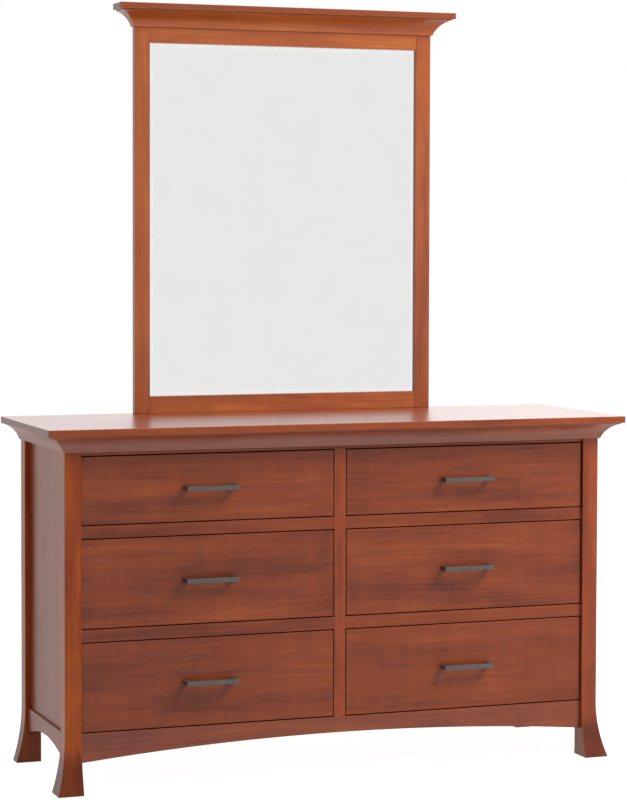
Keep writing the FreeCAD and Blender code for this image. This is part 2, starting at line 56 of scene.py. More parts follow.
import bmesh
import bpy
from mathutils import Matrix, Vector

LOG = logging.getLogger("dresser")

# The body that holds everything but the drawers and their slides.
CASE = "case"
# Edges that turn by more than this are rounded, in this many steps.
SHARP = math.radians(25)
ROUND_STEPS = 3
# An edge runs along an axis if it does so for this share of its length.
ALONG = 0.9
# Points nearer to a face or to one another than these count as on it and as one.
TOUCH = 0.001
WELD = 0.00001
# The mean of a noise texture.
MEAN = 0.5
WHITE = (1.0, 1.0, 1.0)

Colour = tuple[float, float, float]
Triple = tuple[float, float, float]
Point = tuple[float, float]
Span = tuple[float, float]
Corners = tuple[Vector, Vector]
Ring = list[Vector]
Shape = bmesh.types.BMesh
EdgeTest = Callable[[bmesh.types.BMEdge], bool]
Socket = bpy.types.NodeSocket
Sockets = dict[str, Socket]


class Axis(Enum):
    """The three directions of the model's frame."""

    X = 0
    Y = 1
    Z = 2

    @property
    def others(self) -> tuple["Axis", "Axis"]:
        """The two other directions, in the frame's order."""
        return tuple(axis for axis in Axis if axis is not self)


class Row(Enum):
    """The three rows of drawers, as the model's nodes spell them."""

    UPPER = "upper"
    MIDDLE = "middle"
    LOWER = "lower"


class Side(Enum):
    """The two hands of the dresser, with the sign of their X."""

    LEFT = -1
    RIGHT = 1

    @property
    def word(self) -> str:
        """The side's name as the model's nodes spell it."""
        return self.name.lower()


class End(Enum):
    """The front and the rear, as the model's nodes spell them."""

    FRONT = "front"
    REAR = "rear"


class Slot(Enum):
    """The record's material slots that the scene's own pieces belong to."""

    STAINED_WOOD = "stained_wood"
    DRAWER_WOOD = "drawer_wood"
    PULL_METAL = "pull_metal"
    SLIDE_STEEL = "slide_steel"
    MIRROR_GLASS = "mirror_glass"


# Node groups


@dataclass(frozen=True)
class Pattern:
    """What a noise texture is like.

    Attributes:
        scale: Features per metre along each axis.
        detail: Finer layers on top of the first.
        rough: How strong the finer layers are.
    """

    scale: Triple
    detail: float = 2.0
    rough: float = 0.5


class Wiring:
    """A node tree that is being filled."""

    def __init__(self, tree: bpy.types.NodeTree) -> None:
        """Empties the tree and keeps it."""
        self.tree = tree
        tree.nodes.clear()

    def add(self, kind: str, inputs: Optional[dict[Any, Any]] = None, **settings: Any) -> bpy.types.Node:
        """Adds a node.

        Args:
            kind: The node's type, with or without its usual prefix.
            inputs: A number, vector, colour or output socket for each input, by the input's name or number.
            settings: Properties of the node.

        Returns:
            The new node.
        """
        node = self.tree.nodes.new(kind if kind.startswith("Node") else f"ShaderNode{kind}")
        for name, setting in settings.items():
            setattr(node, name, setting)
        for key, source in (inputs or {}).items():
            socket = node.inputs[key]
            if isinstance(source, Socket):
                self.tree.links.new(source, socket)
            else:
                socket.default_value = (*source, 1.0) if socket.type == "RGBA" else source
        return node

    def reckon(self, operation: str, *terms: Any, clamp: bool = False) -> Socket:
        """Works out a number from others.

        Args:
            operation: The name of the Math operation.
            terms: Values or sockets, in order.
            clamp: Whether to keep the result between 0 and 1.

        Returns:
            The result's socket.
        """
        return self.add("Math", dict(enumerate(terms)), operation=operation, use_clamp=clamp).outputs[0]

    def shift(self, vector: Any, other: Any) -> Socket:
        """Adds two vectors and returns the sum's socket."""
        return self.add("VectorMath", {0: vector, 1: other}, operation="ADD").outputs[0]

    def stretch(self, vector: Any, scale: Triple) -> Socket:
        """Scales a vector by axis and returns its socket."""
        return self.add("VectorMath", {0: vector, 1: scale}, operation="MULTIPLY").outputs[0]

    def split(self, vector: Any) -> bpy.types.bpy_prop_collection:
        """Parts a vector and returns its three sockets."""
        return self.add("SeparateXYZ", {0: vector}).outputs

    def noise(self, vector: Any, pattern: Pattern, output: str = "Fac") -> Socket:
        """Adds a noise texture.

        Args:
            vector: Where it is read.
            pattern: What it is like.
            output: The output that is wanted.

        Returns:
            That output's socket.
        """
        inputs = {"Vector": self.stretch(vector, pattern.scale), "Scale": 1.0}
        inputs |= {"Detail": pattern.detail, "Roughness": pattern.rough}
        return self.add("TexNoise", inputs).outputs[output]

    def swing(self, noise: Socket, width: float, base: Any) -> Socket:
        """Lets a noise swing a value about its base, over a width, and returns the value's socket."""
        return self.reckon("MULTIPLY_ADD", self.reckon("SUBTRACT", noise, MEAN), width, base)

    def ramp(self, value: Any, span: Span, out: Span = (0.0, 1.0)) -> Socket:
        """Maps a span of values smoothly to another.

        Args:
            value: The socket to map.
            span: The values that give the first result and the second.
            out: The two results.

        Returns:
            The mapped value's socket.
        """
        inputs = {"Value": value, "From Min": span[0], "From Max": span[1]}
        inputs |= {"To Min": out[0], "To Max": out[1]}
        return self.add("MapRange", inputs, interpolation_type="SMOOTHSTEP").outputs[0]

    def blend(self, factor: Any, below: Any, above: Any, how: str = "MIX") -> Socket:
        """Blends two colours.

        Args:
            factor: How much of the colour above shows.
            below: The colour below.
            above: The colour above.
            how: The way of blending.

        Returns:
            The blended colour's socket.
        """
        # The numbers are those of a Mix node's colour sockets, which share their names with others.
        inputs = {0: factor, 6: below, 7: above}
        return self.add("Mix", inputs, data_type="RGBA", blend_type=how).outputs[2]


class Effect:
    """A shader node group with named inputs and outputs, made once and placed in many materials.

    Attributes:
        name: What the group is called.
        takes: The kind of each input, by name.
        gives: The kind of each output, by name.
    """

    name: str = ""
    takes: dict[str, str] = {}
    gives: dict[str, str] = {}

    def fill(self, wiring: Wiring, source: Sockets) -> Sockets:
        """Makes the group's nodes.

        Args:
            wiring: The empty tree.
            source: The group's inputs by name.

        Returns:
            The sockets that feed the group's outputs, by name.
        """
        raise NotImplementedError

    def tree(self) -> bpy.types.NodeTree:
        """Finds the node group, which the first call makes.

        Returns:
            The group's tree.
        """
        made = bpy.data.node_groups.get(self.name)
        if made:
            return made
        made = bpy.data.node_groups.new(self.name, "ShaderNodeTree")
        for way, sockets in (("INPUT", self.takes), ("OUTPUT", self.gives)):
            for name, kind in sockets.items():
                made.interface.new_socket(name, in_out=way, socket_type=f"NodeSocket{kind}")
        wiring = Wiring(made)
        entry = wiring.add("NodeGroupInput")
        wiring.add("NodeGroupOutput", self.fill(wiring, {name: entry.outputs[name] for name in self.takes}))
        return made

    def place(self, wiring: Wiring, inputs: dict[str, Any]) -> bpy.types.Node:
        """Puts the group into a material, with its inputs set, and returns its node."""
        return wiring.add("Group", inputs, node_tree=self.tree())


class GrainEffect(Effect):
    """Solid wood grain: X runs along the fibres, and the heart of the log is the X axis itself.

    Attributes:
        drift: The noise that bends the fibres.
        sway: How far it bends them along each axis.
        patch: The noise of broad patches.
        patch_swing: How strong the patches are.
        streak: The noise of the streaks.
        streak_swing: How strong the streaks are.
        streak_polish: How much the streaks change the gloss.
        curl: The noise of the curl across the fibres.
        curl_share: How strong the curl is.
        fibre: The noise of single fibres.
        fibre_span: The values of that noise at which a fibre begins to show and shows fully.
        fibre_height: How far fibres stand up.
        pore: The noise of the pores.
        pore_span: The values of that noise at which a pore begins to show and shows fully.
        late: The parts of a year at which its ring begins to darken and is darkest.
        year: The least darkness of a ring, and how much darker it may be.
        lower: The tones that give the dark colour and the middle one.
        upper: The tones that give the middle colour and the light one.
        cut_span: How far a face has to be cut across the fibres to drink more stain, and to drink most.
        cut_most: How much more it drinks then.
        soaked: What more stain leaves of a colour.
    """

    name = "wood_grain"
    takes = {
        "Place": "Vector",
        "Dark": "Color",
        "Middle": "Color",
        "Light": "Color",
        "Shade": "Float",
        "Ring Width": "Float",
        "Rings": "Float",
        "Streaks": "Float",
        "Fibres": "Float",
        "Pores": "Float",
        "Cut": "Float",
    }
    gives = {"Color": "Color", "Polish": "Float", "Height": "Float"}
    drift = Pattern((1.3, 5.0, 5.0))
    sway = (0.0, 0.05, 0.05)
    patch = Pattern((2.2, 15.0, 15.0), 3.0)
    patch_swing = 1.6
    streak = Pattern((3.4, 105.0, 105.0), 5.0, 0.7)
    streak_swing = 1.5
    streak_polish = 0.5
    curl = Pattern((26.0, 7.0, 7.0), 1.0)
    curl_share = 0.5
    fibre = Pattern((14.0, 620.0, 620.0), 3.0, 0.65)
    fibre_span = (0.62, 0.30)
    fibre_height = 0.6
    pore = Pattern((55.0, 1500.0, 1500.0), 1.0)
    pore_span = (0.60, 0.74)
    late = (0.25, 0.9)
    year = (0.35, 0.8)
    lower = (0.0, 0.5)
    upper = (0.45, 1.05)
    cut_span = (0.04, 0.2)
    cut_most = 0.85
    soaked = (0.34, 0.26, 0.24)

    def rings(self, wiring: Wiring, bent: Socket, width: Socket) -> Socket:
        """Counts the years from the heart of the log, and darkens the late part of each.

        Args:
            wiring: The group's tree.
            bent: The place along the bent fibres.
            width: The width of a year's growth.

        Returns:
            How dark the rings are.
        """
        parts = wiring.split(bent)
        across = wiring.reckon("MULTIPLY", parts["Y"], parts["Y"])
        reach = wiring.reckon("SQRT", wiring.reckon("MULTIPLY_ADD", parts["Z"], parts["Z"], across))
        count = wiring.reckon("DIVIDE", reach, width)
        season = wiring.reckon("FRACT", count)
        fading = wiring.ramp(season, (self.late[1], 1.0))
        late = wiring.reckon("SUBTRACT", wiring.ramp(season, self.late), fading)
        number = {"W": wiring.reckon("FLOOR", count)}
        chance = wiring.add("TexWhiteNoise", number, noise_dimensions="1D").outputs["Value"]
        least, more = self.year
        return wiring.reckon("MULTIPLY", late, wiring.reckon("MULTIPLY_ADD", chance, more, least))

    def tone(self, wiring: Wiring, source: Sockets, bent: Socket, streak: Socket) -> Socket:
        """Adds up the patches, the streaks and the rings.

        Args:
            wiring: The group's tree.
            source: The group's inputs by name.
            bent: The place along the bent fibres.
            streak: The noise of the streaks.

        Returns:
            How light the wood is.
        """
        broad = wiring.swing(wiring.noise(bent, self.patch), self.patch_swing, MEAN)
        curl = wiring.reckon("MULTIPLY", wiring.noise(bent, self.curl), self.curl_share)
        fine = wiring.swing(streak, self.streak_swing, curl)
        fine = wiring.reckon("SUBTRACT", fine, self.curl_share * MEAN)
        light = wiring.reckon("MULTIPLY_ADD", fine, source["Streaks"], broad)
        rings = self.rings(wiring, bent, source["Ring Width"])
        light = wiring.reckon("SUBTRACT", light, wiring.reckon("MULTIPLY", rings, source["Rings"]))
        return wiring.reckon("ADD", light, source["Shade"])

    def soak(self, wiring: Wiring, amount: Socket, colour: Socket) -> Socket:
        """Darkens a colour where the wood drinks more stain, and returns its socket."""
        return wiring.blend(amount, colour, wiring.blend(1.0, colour, self.soaked, "MULTIPLY"))

    def fill(self, wiring: Wiring, source: Sockets) -> Sockets:
        """Bends the fibres, colours them by their tone, and soaks cut ends, fibres and pores.

        Args:
            wiring: The empty tree.
            source: The group's inputs by name.

        Returns:
            The colour, what the grain adds to the gloss, and its height.
        """
        drift = wiring.shift(wiring.noise(source["Place"], self.drift, "Color"), (-MEAN, -MEAN, -MEAN))
        bent = wiring.shift(source["Place"], wiring.stretch(drift, self.sway))
        streak = wiring.noise(bent, self.streak)
        tone = self.tone(wiring, source, bent, streak)
        colour = wiring.blend(wiring.ramp(tone, self.lower), source["Dark"], source["Middle"])
        colour = wiring.blend(wiring.ramp(tone, self.upper), colour, source["Light"])
        drunk = wiring.ramp(source["Cut"], self.cut_span, (0.0, self.cut_most))
        colour = self.soak(wiring, drunk, colour)
        fibre = wiring.noise(bent, self.fibre)
        thread = wiring.reckon("MULTIPLY", wiring.ramp(fibre, self.fibre_span), source["Fibres"])
        pore = wiring.ramp(wiring.noise(bent, self.pore), self.pore_span)
        dot = wiring.reckon("MULTIPLY", pore, source["Pores"])
        colour = self.soak(wiring, wiring.reckon("MAXIMUM", thread, dot, clamp=True), colour)
        dip = wiring.reckon("MULTIPLY", dot, -1.0)
        height = wiring.reckon("MULTIPLY_ADD", fibre, self.fibre_height, dip)
        return {"Color": colour, "Polish": wiring.swing(streak, self.streak_polish, dot), "Height": height}


class FilmEffect(Effect):
    """A sprayed or rubbed surface film: its gloss drifts a little and its skin is not quite flat.

    Attributes:
        cloud: The noise of the gloss.
        cloud_swing: How strong that noise is.
        skin: The noise of the skin.
        skin_height: How far the skin stands up.
        smoothest: The least roughness.
    """

    name = "surface_film"
    takes = {"Place": "Vector", "Roughness": "Float", "Drift": "Float", "Polish": "Float", "Relief": "Float"}
    gives = {"Roughness": "Float", "Height": "Float"}
    cloud = Pattern((5.0, 5.0, 5.0), 3.0, 0.6)
    cloud_swing = 1.6
    skin = Pattern((260.0, 260.0, 260.0), 1.0)
    skin_height = 0.35
    smoothest = 0.03

    def fill(self, wiring: Wiring, source: Sockets) -> Sockets:
        """Makes soft clouds of gloss, and a faint skin over the relief below.

        Args:
            wiring: The empty tree.
            source: The group's inputs by name.

        Returns:
            The roughness and the height.
        """
        cloud = wiring.noise(source["Place"], self.cloud)
        skin = wiring.noise(source["Place"], self.skin)
        change = wiring.swing(cloud, self.cloud_swing, source["Polish"])
        rough = wiring.reckon("MULTIPLY_ADD", change, source["Drift"], source["Roughness"])
        height = wiring.reckon("MULTIPLY_ADD", skin, self.skin_height, source["Relief"])
        return {"Roughness": wiring.reckon("MAXIMUM", rough, self.smoothest), "Height": height}


class ArrisEffect(Effect):
    """Wear along eased edges, which show a thinner stain or bare metal in patches; on the mirror's glass the
    same patches are a painted highlight, a brighter silver along the bevel.

    Attributes:
        patch: The noise of the patches.
        patch_span: The values of that noise at which an edge is least marked and most.
        least: How much the least marked edge is marked.
    """

    name = "arris_wear"
    takes = {"Place": "Vector", "Color": "Color", "Worn": "Color", "Amount": "Float"}
    gives = {"Color": "Color"}
    patch = Pattern((38.0, 38.0, 38.0), 3.0)
    patch_span = (0.32, 0.66)
    least = 0.3

    def fill(self, wiring: Wiring, source: Sockets) -> Sockets:
        """Reads the mesh's eased faces and breaks them into patches.

        Args:
            wiring: The empty tree.
            source: The group's inputs by name.

        Returns:
            The colour with the wear on it, which on glass is a painted highlight.
        """
        edge = wiring.add("Attribute", attribute_name="arris").outputs["Fac"]
        patch = wiring.ramp(wiring.noise(source["Place"], self.patch), self.patch_span)
        worn = wiring.reckon("MULTIPLY_ADD", patch, 1.0 - self.least, self.least)
        # On wood and metal this mask is edge wear; on glass it lays the painted highlight on the bevel.
        mask = wiring.reckon("MULTIPLY", wiring.reckon("MULTIPLY", worn, edge), source["Amount"], clamp=True)
        return {"Color": wiring.blend(mask, source["Color"], source["Worn"])}


GRAIN, FILM, ARRIS_WEAR_AND_GLINT = GrainEffect(), FilmEffect(), ArrisEffect()


# Finishes


def start_material(name: str) -> tuple[bpy.types.Material, Wiring]:
    """Begins a material.

    Args:
        name: What it is called.

    Returns:
        The material and its empty tree.
    """
    material = bpy.data.materials.new(name)
    material.use_nodes = True
    return material, Wiring(material.node_tree)


@dataclass(frozen=True, kw_only=True)
class Finish:
    """What every finish has.

    Attributes:
        name: What the finish is called.
        worn: The colour of its rubbed edges; on glass, the colour of the painted highlight along the bevel.
        wear: How far edges are rubbed; on glass, how strong the painted highlight is.
        roughness: How matt it is.
        drift: How much that varies.
        depth: How deep its relief is, or 0 for none.
    """

    name: str
    worn: Colour
    wear: float
    roughness: float
    drift: float
    depth: float

    def coat(
        self, wiring: Wiring, place: Socket, colour: Socket, under: Sockets, more: dict[str, Any]
    ) -> None:
        """Wears the edges, which on glass paints a highlight along the bevel, lays a surface film and adds
        the main shader.

        Args:
            wiring: The material's tree.
            place: Where its noises are read.
            colour: Its colour before the wear.
            under: The film's inputs for what lies below it, Polish and Relief.
            more: Further inputs of the main shader.
        """
        # Edge wear, and on glass a painted highlight along the bevel.
        worn = ARRIS_WEAR_AND_GLINT.place(wiring, {"Place": place, "Color": colour, "Worn": self.worn, "Amount": self.wear})
        matt = {"Place": place, "Roughness": self.roughness, "Drift": self.drift}
        film = FILM.place(wiring, matt | under)
        inputs = {"Base Color": worn.outputs["Color"], "Roughness": film.outputs["Roughness"], **more}
        if self.depth:
            bump = {"Height": film.outputs["Height"], "Strength": 1.0, "Distance": self.depth}
            inputs["Normal"] = wiring.add("Bump", bump).outputs[0]
        shader = wiring.add("BsdfPrincipled", inputs)
        wiring.add("OutputMaterial", {"Surface": shader.outputs[0]})


@dataclass(frozen=True)
class Lumber:
    """How a board lies in its log.

    Attributes:
        grain: The way its fibres run.
        face: The way its broad side looks.
        shade: How much lighter it is than its neighbours; on some boards part of it is painted light.
        turn: A number to change for another stretch of the log.
    """

    grain: Axis
    face: Axis
    shade: float = 0.0
    turn: int = 0

    @property
    def order(self) -> tuple[Axis, Axis, Axis]:
        """The ways along the board, across it and out of its face."""
        across = next(axis for axis in Axis if axis not in (self.grain, self.face))
        return self.grain, across, self.face


@dataclass(frozen=True, kw_only=True)
class WoodFinish(Finish):
    """A wood with its stain and its lacquer.

    Attributes:
        dark: The deepest streaks.
        middle: Most of the wood.
        light: The brightest streaks.
        gloss: How strongly the wood itself reflects.
        lacquer: How much its upper side is polished.
        film: How matt that polish is.
        upwards: The rise of a face's normal at which the polish sets in and is full.
        ring: The width of a year's growth.
        rings: How plainly the years show.
        streaks: How plainly the streaks show.
        fibres: How plainly single fibres show.
        pores: How plainly pores show.
        cuts: Where a board may lie along its log, across it and out from its heart.
        tones: How much lighter one board may be than the next.
        growth: How much wider its rings may be.
    """

    dark: Colour
    middle: Colour
    light: Colour
    wear: float = 0.45
    roughness: float = 0.30
    drift: float = 0.035
    depth: float = 0.00002
    gloss: float = 0.38
    lacquer: float = 0.0
    film: float = 0.18
    upwards: Span = (0.6, 0.95)
    ring: float = 0.0075
    rings: float = 0.14
    streaks: float = 0.75
    fibres: float = 0.20
    pores: float = 0.30
    cuts: tuple[Span, Span, Span] = ((2.0, 30.0), (-0.05, 0.05), (0.05, 0.11))
    tones: Span = (-0.08, 0.08)
    growth: Span = (0.8, 1.25)

    def cut(self, piece: str, lumber: Lumber, box: Corners) -> bpy.types.Material:
        """Makes the material of one board, cut from its own stretch of the log.

        Args:
            piece: The board's name.
            lumber: How it lies in the log.
            box: Its lowest and highest corners.

        Returns:
            The material.
        """
        chance = random.Random(zlib.crc32(f"{piece}/{lumber.turn}".encode()))
        middle = (box[0] + box[1]) / 2
        log = tuple(chance.uniform(*cut) - middle[axis.value] for cut, axis in zip(self.cuts, lumber.order))
        material, wiring = start_material(f"{self.name}.{piece}")
        spot = wiring.split(wiring.add("TexCoord").outputs["Object"])
        turned = wiring.add("CombineXYZ", {n: spot[axis.value] for n, axis in enumerate(lumber.order)})
        place = wiring.shift(turned.outputs[0], log)
        facing = wiring.split(wiring.add("NewGeometry").outputs["Normal"])
        grain = GRAIN.place(
            wiring,
            {
                "Place": place,
                "Dark": self.dark,
                "Middle": self.middle,
                "Light": self.light,
                "Shade": lumber.shade + chance.uniform(*self.tones),
                "Ring Width": self.ring * chance.uniform(*self.growth),
                "Rings": self.rings,
                "Streaks": self.streaks,
                "Fibres": self.fibres,
                "Pores": self.pores,
                "Cut": wiring.reckon("ABSOLUTE", facing[lumber.grain.value]),
            },
        ).outputs
        more = {"Specular IOR Level": self.gloss}
        if self.lacquer:
            more["Coat Weight"] = wiring.ramp(facing["Z"], self.upwards, (0.0, self.lacquer))
            more["Coat Roughness"] = self.film
        under = {"Polish": grain["Polish"], "Relief": grain["Height"]}
        self.coat(wiring, place, grain["Color"], under, more)
        return material


@dataclass(frozen=True, kw_only=True)
class MetalFinish(Finish):
    """A metal, plain or with a dark patina that its edges have lost.

    Attributes:
        colour: Most of the metal.
        cloud: The colour of its patches.
        patch: The noise of the patches.
        patch_span: The values of that noise that give the first colour and the second.
        metallic: How much it is bare metal rather than a coat.
        drawn: The noise of drawn lines along Y.
        lines: How plainly they show.
    """

    colour: Colour
    cloud: Colour
    wear: float = 0.5
    drift: float = 0.12
    depth: float = 0.00008
    patch: Pattern = Pattern((70.0, 70.0, 70.0), 4.0, 0.6)
    patch_span: Span = (0.3, 0.7)
    metallic: float = 1.0
    drawn: Pattern = Pattern((900.0, 6.0, 900.0))
    lines: float = 0.0

    def material(self) -> bpy.types.Material:
        """Finds the finish's material, which the first call makes.

        Returns:
            The material.
        """
        made = bpy.data.materials.get(self.name)
        if made:
            return made
        made, wiring = start_material(self.name)
        place = wiring.add("TexCoord").outputs["Object"]
        patch = wiring.ramp(wiring.noise(place, self.patch), self.patch_span)
        lines = wiring.reckon("MULTIPLY", wiring.noise(place, self.drawn), self.lines)
        colour = wiring.blend(patch, self.colour, self.cloud)
        self.coat(wiring, place, colour, {"Polish": lines, "Relief": lines}, {"Metallic": self.metallic})
        return made


@dataclass(frozen=True, kw_only=True)
class MirrorFinish(Finish):
    """Silvered glass, whose edges are its bevel, with a film of dust that hardly shows; its bevel is painted
    a brighter silver in patches, a painted highlight.

    Attributes:
        silver: The share of each colour that it sends back.
        haze: The noise of the dust.
        dusty: The share of light that the dust leaves.
    """

    name: str = "mirror_glass"
    # The bevel's brighter silver and its full strength are a painted highlight.
    worn: Colour = (0.85, 0.845, 0.86)
    wear: float = 1.0
    roughness: float = 0.012
    drift: float = 0.012
    depth: float = 0.0
    silver: Colour = (0.81, 0.812, 0.803)
    haze: Pattern = Pattern((9.0, 9.0, 9.0), 3.0)
    dusty: float = 0.985

    def material(self) -> bpy.types.Material:
        """Makes the finish's material.

        Returns:
            The material.
        """
        made, wiring = start_material(self.name)
        place = wiring.add("TexCoord").outputs["Object"]
        haze = wiring.noise(place, self.haze)
        tint = wiring.blend(haze, self.silver, tuple(self.dusty * part for part in self.silver))
        self.coat(wiring, place, tint, {"Polish": haze, "Relief": haze}, {"Metallic": 1.0})
        return made


DRAWER_STAIN = WoodFinish(
    name="drawer_stain",
    dark=(0.128, 0.022, 0.0070),
    middle=(0.205, 0.037, 0.0085),
    light=(0.310, 0.066, 0.0115),
    worn=(0.30, 0.07, 0.02),
)
APRON_STAIN = replace(DRAWER_STAIN, name="apron_stain", gloss=0.55)
FRAME_STAIN = WoodFinish(
    name="frame_stain",
    dark=(0.160, 0.026, 0.0065),
    middle=(0.250, 0.043, 0.0075),
    light=(0.370, 0.080, 0.0115),
    worn=(0.36, 0.09, 0.025),
)
TOP_STAIN = replace(FRAME_STAIN, name="top_stain", lacquer=1.0, film=0.27)
SIDE_STAIN = replace(FRAME_STAIN, name="side_stain", gloss=0.22)
COVE_STAIN = replace(FRAME_STAIN, name="cove_stain", roughness=0.42, gloss=1.0)
MIRROR_STAIN = WoodFinish(
    name="mirror_stain",
    dark=(0.215, 0.042, 0.0095),
    middle=(0.325, 0.073, 0.0140),
    light=(0.450, 0.120, 0.022),
    worn=(0.46, 0.14, 0.04),
    gloss=0.5,
)
# Painted light: a lighter copy of the mirror's stain for the crown's front, standing in for light that falls
# on it from the front.
MIRROR_COVE_PAINTED_LIGHT_STAIN = replace(
    MIRROR_STAIN,
    name="mirror_cove_stain",
    dark=(0.31, 0.060, 0.0120),
    middle=(0.46, 0.102, 0.0165),
    light=(0.58, 0.150, 0.0260),
)
MAPLE = WoodFinish(
    name="clear_maple",
    dark=(0.52, 0.33, 0.165),
    middle=(0.64, 0.44, 0.245),
    light=(0.72, 0.53, 0.325),
    worn=(0.70, 0.52, 0.33),
    wear=0.3,
    roughness=0.38,
    gloss=0.4,
    ring=0.006,
    rings=0.22,
    streaks=0.5,
    fibres=0.12,
    pores=0.12,
)
PLY = WoodFinish(
    name="stained_ply",
    dark=(0.15, 0.048, 0.02),
    middle=(0.215, 0.078, 0.034),
    light=(0.29, 0.12, 0.055),
    worn=(0.34, 0.17, 0.085),
    roughness=0.55,
    gloss=0.3,
    ring=0.011,
    rings=0.45,
    streaks=0.7,
    fibres=0.4,
    pores=0.35,
)
PLAIN_STAIN = WoodFinish(
    name="plain_stain",
    dark=(0.14, 0.036, 0.014),
    middle=(0.21, 0.056, 0.02),
    light=(0.29, 0.088, 0.032),
    worn=(0.33, 0.13, 0.06),
    roughness=0.46,
    gloss=0.35,
    fibres=0.35,
)
DARK_BRONZE = MetalFinish(
    name="dark_bronze",
    colour=(0.094, 0.084, 0.081),
    cloud=(0.118, 0.105, 0.100),
    worn=(0.20, 0.18, 0.165),
    wear=0.45,
    roughness=0.40,
    metallic=0.55,
)
ZINC = MetalFinish(
    name="zinc_steel",
    colour=(0.46, 0.47, 0.49),
    cloud=(0.56, 0.565, 0.575),
    worn=(0.66, 0.66, 0.66),
    roughness=0.34,
    lines=0.4,
)
MIRROR = MirrorFinish()


# Meshes


def loft(rings: Sequence[Ring]) -> Shape:
    """Makes a closed shape through rings of points, with a face at each end.

    Args:
        rings: Rings with the same number of points, in order.

    Returns:
        The shape.
    """
    shape = bmesh.new()
    levels = [[shape.verts.new(point) for point in ring] for ring in rings]
    count = len(levels[0])
    for low, high in zip(levels, levels[1:]):
        for n in range(count):
            after = (n + 1) % count
            shape.faces.new((low[n], low[after], high[after], high[n]))
    shape.faces.new(tuple(reversed(levels[0])))
    shape.faces.new(tuple(levels[-1]))
    return shape


def prism(outline: Sequence[Point], axis: Axis, low: float, high: float) -> Shape:
    """Makes a straight length with a given section.

    Args:
        outline: The section's corners, as pairs on the two other axes in the frame's order.
        axis: The way that it runs.
        low: Where it begins.
        high: Where it ends.

    Returns:
        The shape.
    """
    rings = []
    for level in (low, high):
        ring = []
        for point in outline:
            spot = Vector()
            spot[axis.value] = level
            for other, part in zip(axis.others, point):
                spot[other.value] = part
            ring.append(spot)
        rings.append(ring)
    return loft(rings)


def between(across: Sequence[float], depth: Sequence[float], height: Sequence[float]) -> Corners:
    """Returns the lowest and the highest corner of a box from its spans along X, Y and Z."""
    low, high = zip(across, depth, height)
    return Vector(low), Vector(high)


def block(low: Vector, high: Vector) -> Shape:
    """Makes a square-edged board between two corners and returns it."""
    corners = [(low.x, low.y), (high.x, low.y), (high.x, high.y), (low.x, high.y)]
    return prism(corners, Axis.Z, low.z, high.z)


def arch(half: float, low: float, rise: float, steps: int) -> list[Point]:
    """Lists points along a shallow arch, from its left foot to its right one.

    Args:
        half: Half its width.
        low: The height of its feet.
        rise: How far its middle stands above them.
        steps: How many straight runs it has.

    Returns:
        Pairs of a place across and a height.
    """
    radius = (half**2 + rise**2) / (2 * rise)
    places = [half * (2 * n / steps - 1) for n in range(steps + 1)]
    return [(x, low + rise - radius + math.sqrt(radius**2 - x**2)) for x in places]


def runs_along(axis: Axis) -> EdgeTest:
    """Makes a test for edges that run along an axis.

    Args:
        axis: The axis.

    Returns:
        The test.
    """

    def test(edge: bmesh.types.BMEdge) -> bool:
        """Tells whether an edge runs along the axis."""
        way = (edge.verts[1].co - edge.verts[0].co).normalized()
        return abs(way[axis.value]) > ALONG

    return test


class Stock:
    """A piece of the scene in the making: closed shapes gathered in one mesh."""

    def __init__(
        self, name: str, slot: Slot = Slot.STAINED_WOOD, body: str = CASE, crease: float = 40.0
    ) -> None:
        """Starts an empty piece.

        Args:
            name: What the piece is called.
            slot: The record's material slot that it belongs to; it is not used.
            body: The body that it moves with.
            crease: The angle, in degrees, over which two faces meet in a hard line.
        """
        self.name, self.slot, self.body, self.crease = name, slot, body, crease
        self.points: list[Vector] = []
        self.faces: list[tuple[int, ...]] = []
        self.eased: list[float] = []
        self.looks: list[int] = []
        self.materials: list[bpy.types.Material] = []

    def add(
        self,
        shape: Shape,
        material: bpy.types.Material,
        ease: float = 0.0,
        wanted: Optional[EdgeTest] = None,
        marked: Sequence[int] = (),
    ) -> "Stock":
        """Takes in a shape, with its sharp edges rounded.

        Args:
            shape: The shape, which is used up.
            material: Its material.
            ease: How far its edges are rounded, or 0 for none.
            wanted: A test that picks the edges to round.
            marked: The numbers of faces that count as rounded edges from the start.

        Returns:
            The piece itself.
        """
        bmesh.ops.recalc_face_normals(shape, faces=shape.faces)
        shape.faces.ensure_lookup_table()
        rounded = {shape.faces[number] for number in marked}
        if ease:
            sharp = [edge for edge in shape.edges if edge.is_manifold and edge.calc_face_angle() > SHARP]
            edges = [edge for edge in sharp if wanted is None or wanted(edge)]
            rounding = {"offset": ease, "segments": ROUND_STEPS, "profile": 0.5, "affect": "EDGES"}
            made = bmesh.ops.bevel(shape, geom=edges, clamp_overlap=True, **rounding)
            rounded |= set(made["faces"])
        if material not in self.materials:
            self.materials.append(material)
        look = self.materials.index(material)
        first = len(self.points)
        shape.verts.index_update()
        self.points += [vert.co.copy() for vert in shape.verts]
        for face in shape.faces:
            self.faces.append(tuple(first + vert.index for vert in face.verts))
            self.eased.append(1.0 if face in rounded else 0.0)
            self.looks.append(look)
        shape.free()
        return self

    def finish(self, *nodes: str) -> None:
        """Makes the piece's object, sets it on its body and hides the nodes that it stands for.

        Args:
            nodes: The names of those nodes.
        """
        mesh = bpy.data.meshes.new(self.name)
        mesh.from_pydata(self.points, [], self.faces)
        for material in self.materials:
            mesh.materials.append(material)
        mesh.polygons.foreach_set("material_index", self.looks)
        mesh.polygons.foreach_set("use_smooth", [True] * len(self.faces))
        mesh.attributes.new("arris", "FLOAT", "FACE").data.foreach_set("value", self.eased)
        mesh.set_sharp_from_angle(angle=math.radians(self.crease))
        mesh.update()
        piece = bpy.data.objects.new(self.name, mesh)
        bpy.context.scene.collection.objects.link(piece)
        piece.modifiers.new("flat_faces", "WEIGHTED_NORMAL").keep_sharp = True
        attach(piece, self.body)
        if nodes:
            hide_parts(*nodes)
        LOG.info("%s: %d faces on %s", self.name, len(self.faces), self.body)


